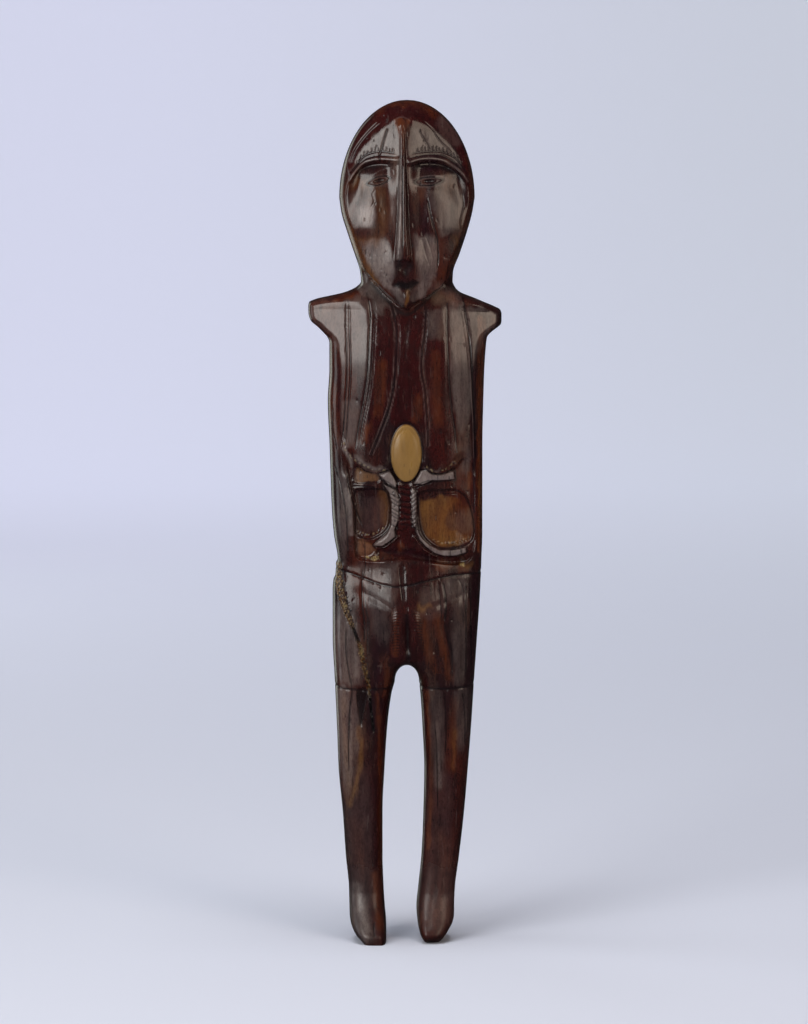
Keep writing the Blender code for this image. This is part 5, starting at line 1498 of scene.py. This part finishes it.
def ivory_material():
    """Dark polished ivory: mottled mahogany and red-brown, streaked along the tusk, with painted sheen,
    highlights and shade from the masks.
    """
    material = bpy.data.materials.new("ivory_patina")
    nodes = Nodes(material)
    place = nodes.add("ShaderNodeTexCoord").outputs["Object"]
    cloud = nodes.noise(place, 55, 4, (1, 1, 0.30))
    blotch = nodes.noise(place, 120, 5, (1, 1, 0.35))
    streak = nodes.noise(place, 520, 3, (1, 1, 0.035), 0.6)
    grain = nodes.noise(place, 1500, 3, (1, 1, 0.12))
    speck = nodes.noise(place, 2600, 2)

    colour = nodes.mix(nodes.levels(cloud, 0.40, 0.66), MAHOGANY, RED_BROWN)
    colour = nodes.mix(nodes.levels(blotch, 0.52, 0.74, 0, 0.75), colour, BROWN)
    colour = nodes.mix(nodes.levels(streak, 0.48, 0.72, 0, 0.5), colour, MAHOGANY)
    red = nodes.uneven("red", blotch, 0.30, 0.62, 0.75, 1.0)
    colour = nodes.mix(red, colour, nodes.mix(nodes.levels(cloud, 0.46, 0.78), DEEP_RED, RED_BROWN))
    # Dark purple tones and painted shade
    dusk = nodes.uneven("dusk", blotch, 0.30, 0.70, 1.0, 0.6)
    colour = nodes.mix(dusk, colour, DARK_TONE_AND_SHADE)
    ember = nodes.uneven("ember", streak, 0.35, 0.65, 1.0, 0.45)
    colour = nodes.mix(ember, colour, EMBER)
    # Painted sheen over grey wear, uneven with the blotches and streaks
    haze = nodes.uneven("haze", blotch, 0.25, 0.70, 0.85, 0.45)
    haze = nodes.sum("MULTIPLY", haze, nodes.levels(streak, 0.30, 0.70, 1.0, 0.7))
    colour = nodes.mix(haze, colour, GREY_WEAR_AND_SHEEN)
    amber = nodes.uneven("amber", blotch, 0.30, 0.60, 0.6, 1.0)
    colour = nodes.mix(amber, colour, nodes.mix(nodes.levels(cloud, 0.45, 0.70), AMBER, EMBER))
    honey = nodes.mix(nodes.levels(blotch, 0.38, 0.66), HONEY_LIGHT, HONEY_DEEP)
    # Pale patina and painted highlights
    pale = nodes.uneven("pale", blotch, 0.25, 0.70, 0.9, 0.7)
    colour = nodes.mix(pale, colour, PALE_PATINA_AND_HIGHLIGHT)
    # Over all the colours lie mottling, fine dark streaks, dark flecks and pale wear
    mottle = nodes.noise(place, 380, 5, (1, 1, 0.40), 0.62)
    colour = nodes.darken(colour, mottle, 0.42, 0.64, 0.6, MOTTLE_SHADE)
    colour = nodes.darken(colour, streak, 0.44, 0.68, 0.4, STREAK_SHADE)
    wear = nodes.noise(place, 1300, 4, (1, 1, 0.22), 0.65)
    colour = nodes.mix(nodes.levels(wear, 0.54, 0.70, 0, 0.07), colour, WEAR)
    fleck = nodes.levels(nodes.noise(place, 950, 3, (1, 1, 0.16)), 0.60, 0.70, 0, 0.45)
    colour = nodes.mix(fleck, colour, BLACK)
    pepper = nodes.noise(place, 2300, 3, (1, 1, 0.40), 0.7)
    colour = nodes.darken(colour, pepper, 0.48, 0.62, 0.55, PEPPER_SHADE)
    honey = nodes.mix(nodes.levels(mottle, 0.45, 0.70, 0, 0.5), honey, HONEY_DEEP)
    colour = nodes.mix(nodes.mask("honey"), colour, honey)
    crumb = nodes.mask("crumb")
    colour = nodes.mix(nodes.sum("MULTIPLY", crumb, nodes.levels(speck, 0.35, 0.60, 0.3, 1)), colour, CRUMB)
    # Dark fill of cuts, cracks and dirt, and painted shade under the brows, nose and chin and inside the
    # scoops' rims
    dark = nodes.mask("dark")
    colour = nodes.mix(nodes.sum("MULTIPLY", dark, 0.94), colour, BLACK)

    polish = nodes.levels(blotch, 0.3, 0.7, 0.15, 0.21)
    polish = nodes.sum("ADD", polish, nodes.levels(mottle, 0.40, 0.66, 0, 0.06))
    dirt = nodes.sum("ADD", nodes.sum("MULTIPLY", crumb, 0.6), nodes.sum("MULTIPLY", dark, 0.06))
    scuffed = nodes.sum("MULTIPLY", nodes.mask("scuff"), 0.17)
    worn = nodes.sum("ADD", scuffed, nodes.sum("MULTIPLY", nodes.mask("honey"), 0.10))
    rough = nodes.sum("ADD", nodes.sum("ADD", polish, worn), dirt)

    relief = nodes.sum("MULTIPLY", speck, nodes.sum("ADD", 0.25, crumb))
    height = nodes.sum("ADD", nodes.sum("MULTIPLY", grain, 0.6), relief)
    bump = nodes.add("ShaderNodeBump", {"Height": height, "Strength": 0.07, "Distance": 0.0006})
    nodes.shade(Base_Color=colour, Roughness=rough, Normal=bump.outputs["Normal"], Specular_IOR_Level=0.5)
    return material


def build_figure():
    """The carving in the solid's place."""
    surface = build_surface((scene_front, scene_back))
    data = bpy.data.meshes.new("carving_whole")
    surface.to_mesh(data)
    surface.free()
    engrave_rings(data)
    data = reduced(data, SURFACE_TRIANGLES)
    shift = place_on_frame(data)
    add_masks(data, shift)
    data.shade_smooth()
    figure = add_object("carving", data)
    data.materials.clear()
    data.materials.append(ivory_material())
    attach(figure, "root")
    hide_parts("figure")


# The studio
PAPER = (0.66, 0.69, 0.80, 1)
PAPER_GLOW = ((0.98, 1.00, 1.235, 1), (0.82, 0.86, 0.965, 1))
CAMERA_DISTANCE = 1.50
CAMERA_ELEVATION = 5.0
PICTURE_HEIGHT = HEIGHT * 1024 / 843
AIM_ASIDE = -0.0003
AIM_ABOVE_MIDDLE = HEIGHT * 10.8 / 844
SENSOR_HEIGHT = 24
CEILING = {"size": (0.9, 0.8), "watts": 16.4, "place": (-0.05, -0.25, 1.6)}
# Name, azimuth, elevation, distance, size, watts, colour; azimuth 0 is in front, negative to the left
SOFTBOXES = [
    ("softbox_left", -34, 20, 1.2, (0.56, 0.92), 8.2, (1.0, 0.98, 0.94)),
    ("softbox_right", 36, 19, 1.25, (0.46, 0.90), 3.9, (1.0, 0.82, 0.66)),
    ("side_left", -98, 12, 1.2, (0.5, 1.0), 2.2, (1, 1, 1)),
    ("rim_left", -148, 8, 1.2, (0.4, 0.9), 1.2, (0.95, 1.0, 0.90)),
]


def build_backdrop():
    """A pale floor that curves up into a wall well behind the figure."""
    half_width, front, back, height, radius = 3.0, 2.2, 2.6, 2.6, 0.9
    mesh = bmesh.new()
    profile = [(-front, 0.0), (back - radius, 0.0)]
    for k in range(1, 17):
        angle = np.pi / 2 * k / 16
        profile.append((back - radius + radius * np.sin(angle), radius - radius * np.cos(angle)))
    profile.append((back, height))
    rows = [[mesh.verts.new((x, y, z)) for y, z in profile] for x in (-half_width, half_width)]
    for i in range(len(profile) - 1):
        mesh.faces.new((rows[0][i], rows[1][i], rows[1][i + 1], rows[0][i + 1]))
    data = bpy.data.meshes.new("backdrop")
    mesh.to_mesh(data)
    mesh.free()
    data.shade_smooth()
    floor = add_object("backdrop", data)
    material = bpy.data.materials.new("backdrop_paper")
    nodes = Nodes(material)
    place = nodes.add("ShaderNodeTexCoord").outputs["Object"]
    along = nodes.add("ShaderNodeSeparateXYZ", {"Vector": place})
    # The paper glows with painted light, brighter to the left and rising from nothing in front of the figure
    # to full strength at the back
    glow = nodes.mix(nodes.levels(along.outputs["X"], -0.30, 0.35), *PAPER_GLOW)
    strength = nodes.levels(along.outputs["Y"], -0.1, 1.9, 0.0, 0.455)
    nodes.shade(Base_Color=PAPER, Roughness=0.9, Specular_IOR_Level=0.1)
    nodes.shade(Emission_Color=glow, Emission_Strength=strength)
    data.materials.append(material)
    floor.visible_glossy = False


def add_light(name, size, watts, colour=(1, 1, 1)):
    """A rectangular light that shines downwards until it is turned."""
    light = bpy.data.lights.new(name, "AREA")
    light.shape = "RECTANGLE"
    light.size, light.size_y = size
    light.energy = watts
    light.color = colour
    return add_object(name, light)


def build_studio():
    """Backdrop, a soft light overhead for the floor, softboxes that face the figure, and dim air."""
    build_backdrop()
    ceiling = add_light("ceiling", CEILING["size"], CEILING["watts"])
    ceiling.location = CEILING["place"]
    ceiling.visible_glossy = False
    target = Vector((0, 0, HEIGHT * 0.55))
    for name, azimuth, elevation, distance, size, watts, colour in SOFTBOXES:
        a, e = np.radians(azimuth), np.radians(elevation)
        way = Vector((np.sin(a) * np.cos(e), -np.cos(a) * np.cos(e), np.sin(e)))
        lamp = add_light(name, size, watts, colour)
        lamp.location = target + way * distance
        lamp.rotation_euler = way.to_track_quat("Z", "Y").to_euler()
    world = bpy.data.worlds.new("studio_air")
    bpy.context.scene.world = world
    world.use_nodes = True
    air = world.node_tree.nodes["Background"].inputs
    air["Color"].default_value = (0.9, 0.93, 1.0, 1)
    air["Strength"].default_value = 0.02


def build_camera():
    """The camera, a little above the figure's middle and looking slightly down."""
    data = bpy.data.cameras.new("camera")
    data.sensor_fit = "VERTICAL"
    data.sensor_height = SENSOR_HEIGHT
    data.lens = SENSOR_HEIGHT / 2 / (PICTURE_HEIGHT / 2 / CAMERA_DISTANCE)
    camera = add_object("camera", data)
    elevation = np.radians(CAMERA_ELEVATION)
    aim = Vector((AIM_ASIDE, 0, HEIGHT / 2 + AIM_ABOVE_MIDDLE))
    way = Vector((0, -np.cos(elevation), np.sin(elevation)))
    camera.location = aim + way * CAMERA_DISTANCE
    camera.rotation_euler = way.to_track_quat("Z", "Y").to_euler()
    bpy.context.scene.camera = camera


LINES = fine_lines()
PALE_LINES = random_strokes(PALE_SCRATCHES, 0.75)
build_camera()
build_figure()
build_studio()
bpy.context.scene.view_settings.view_transform = "Standard"
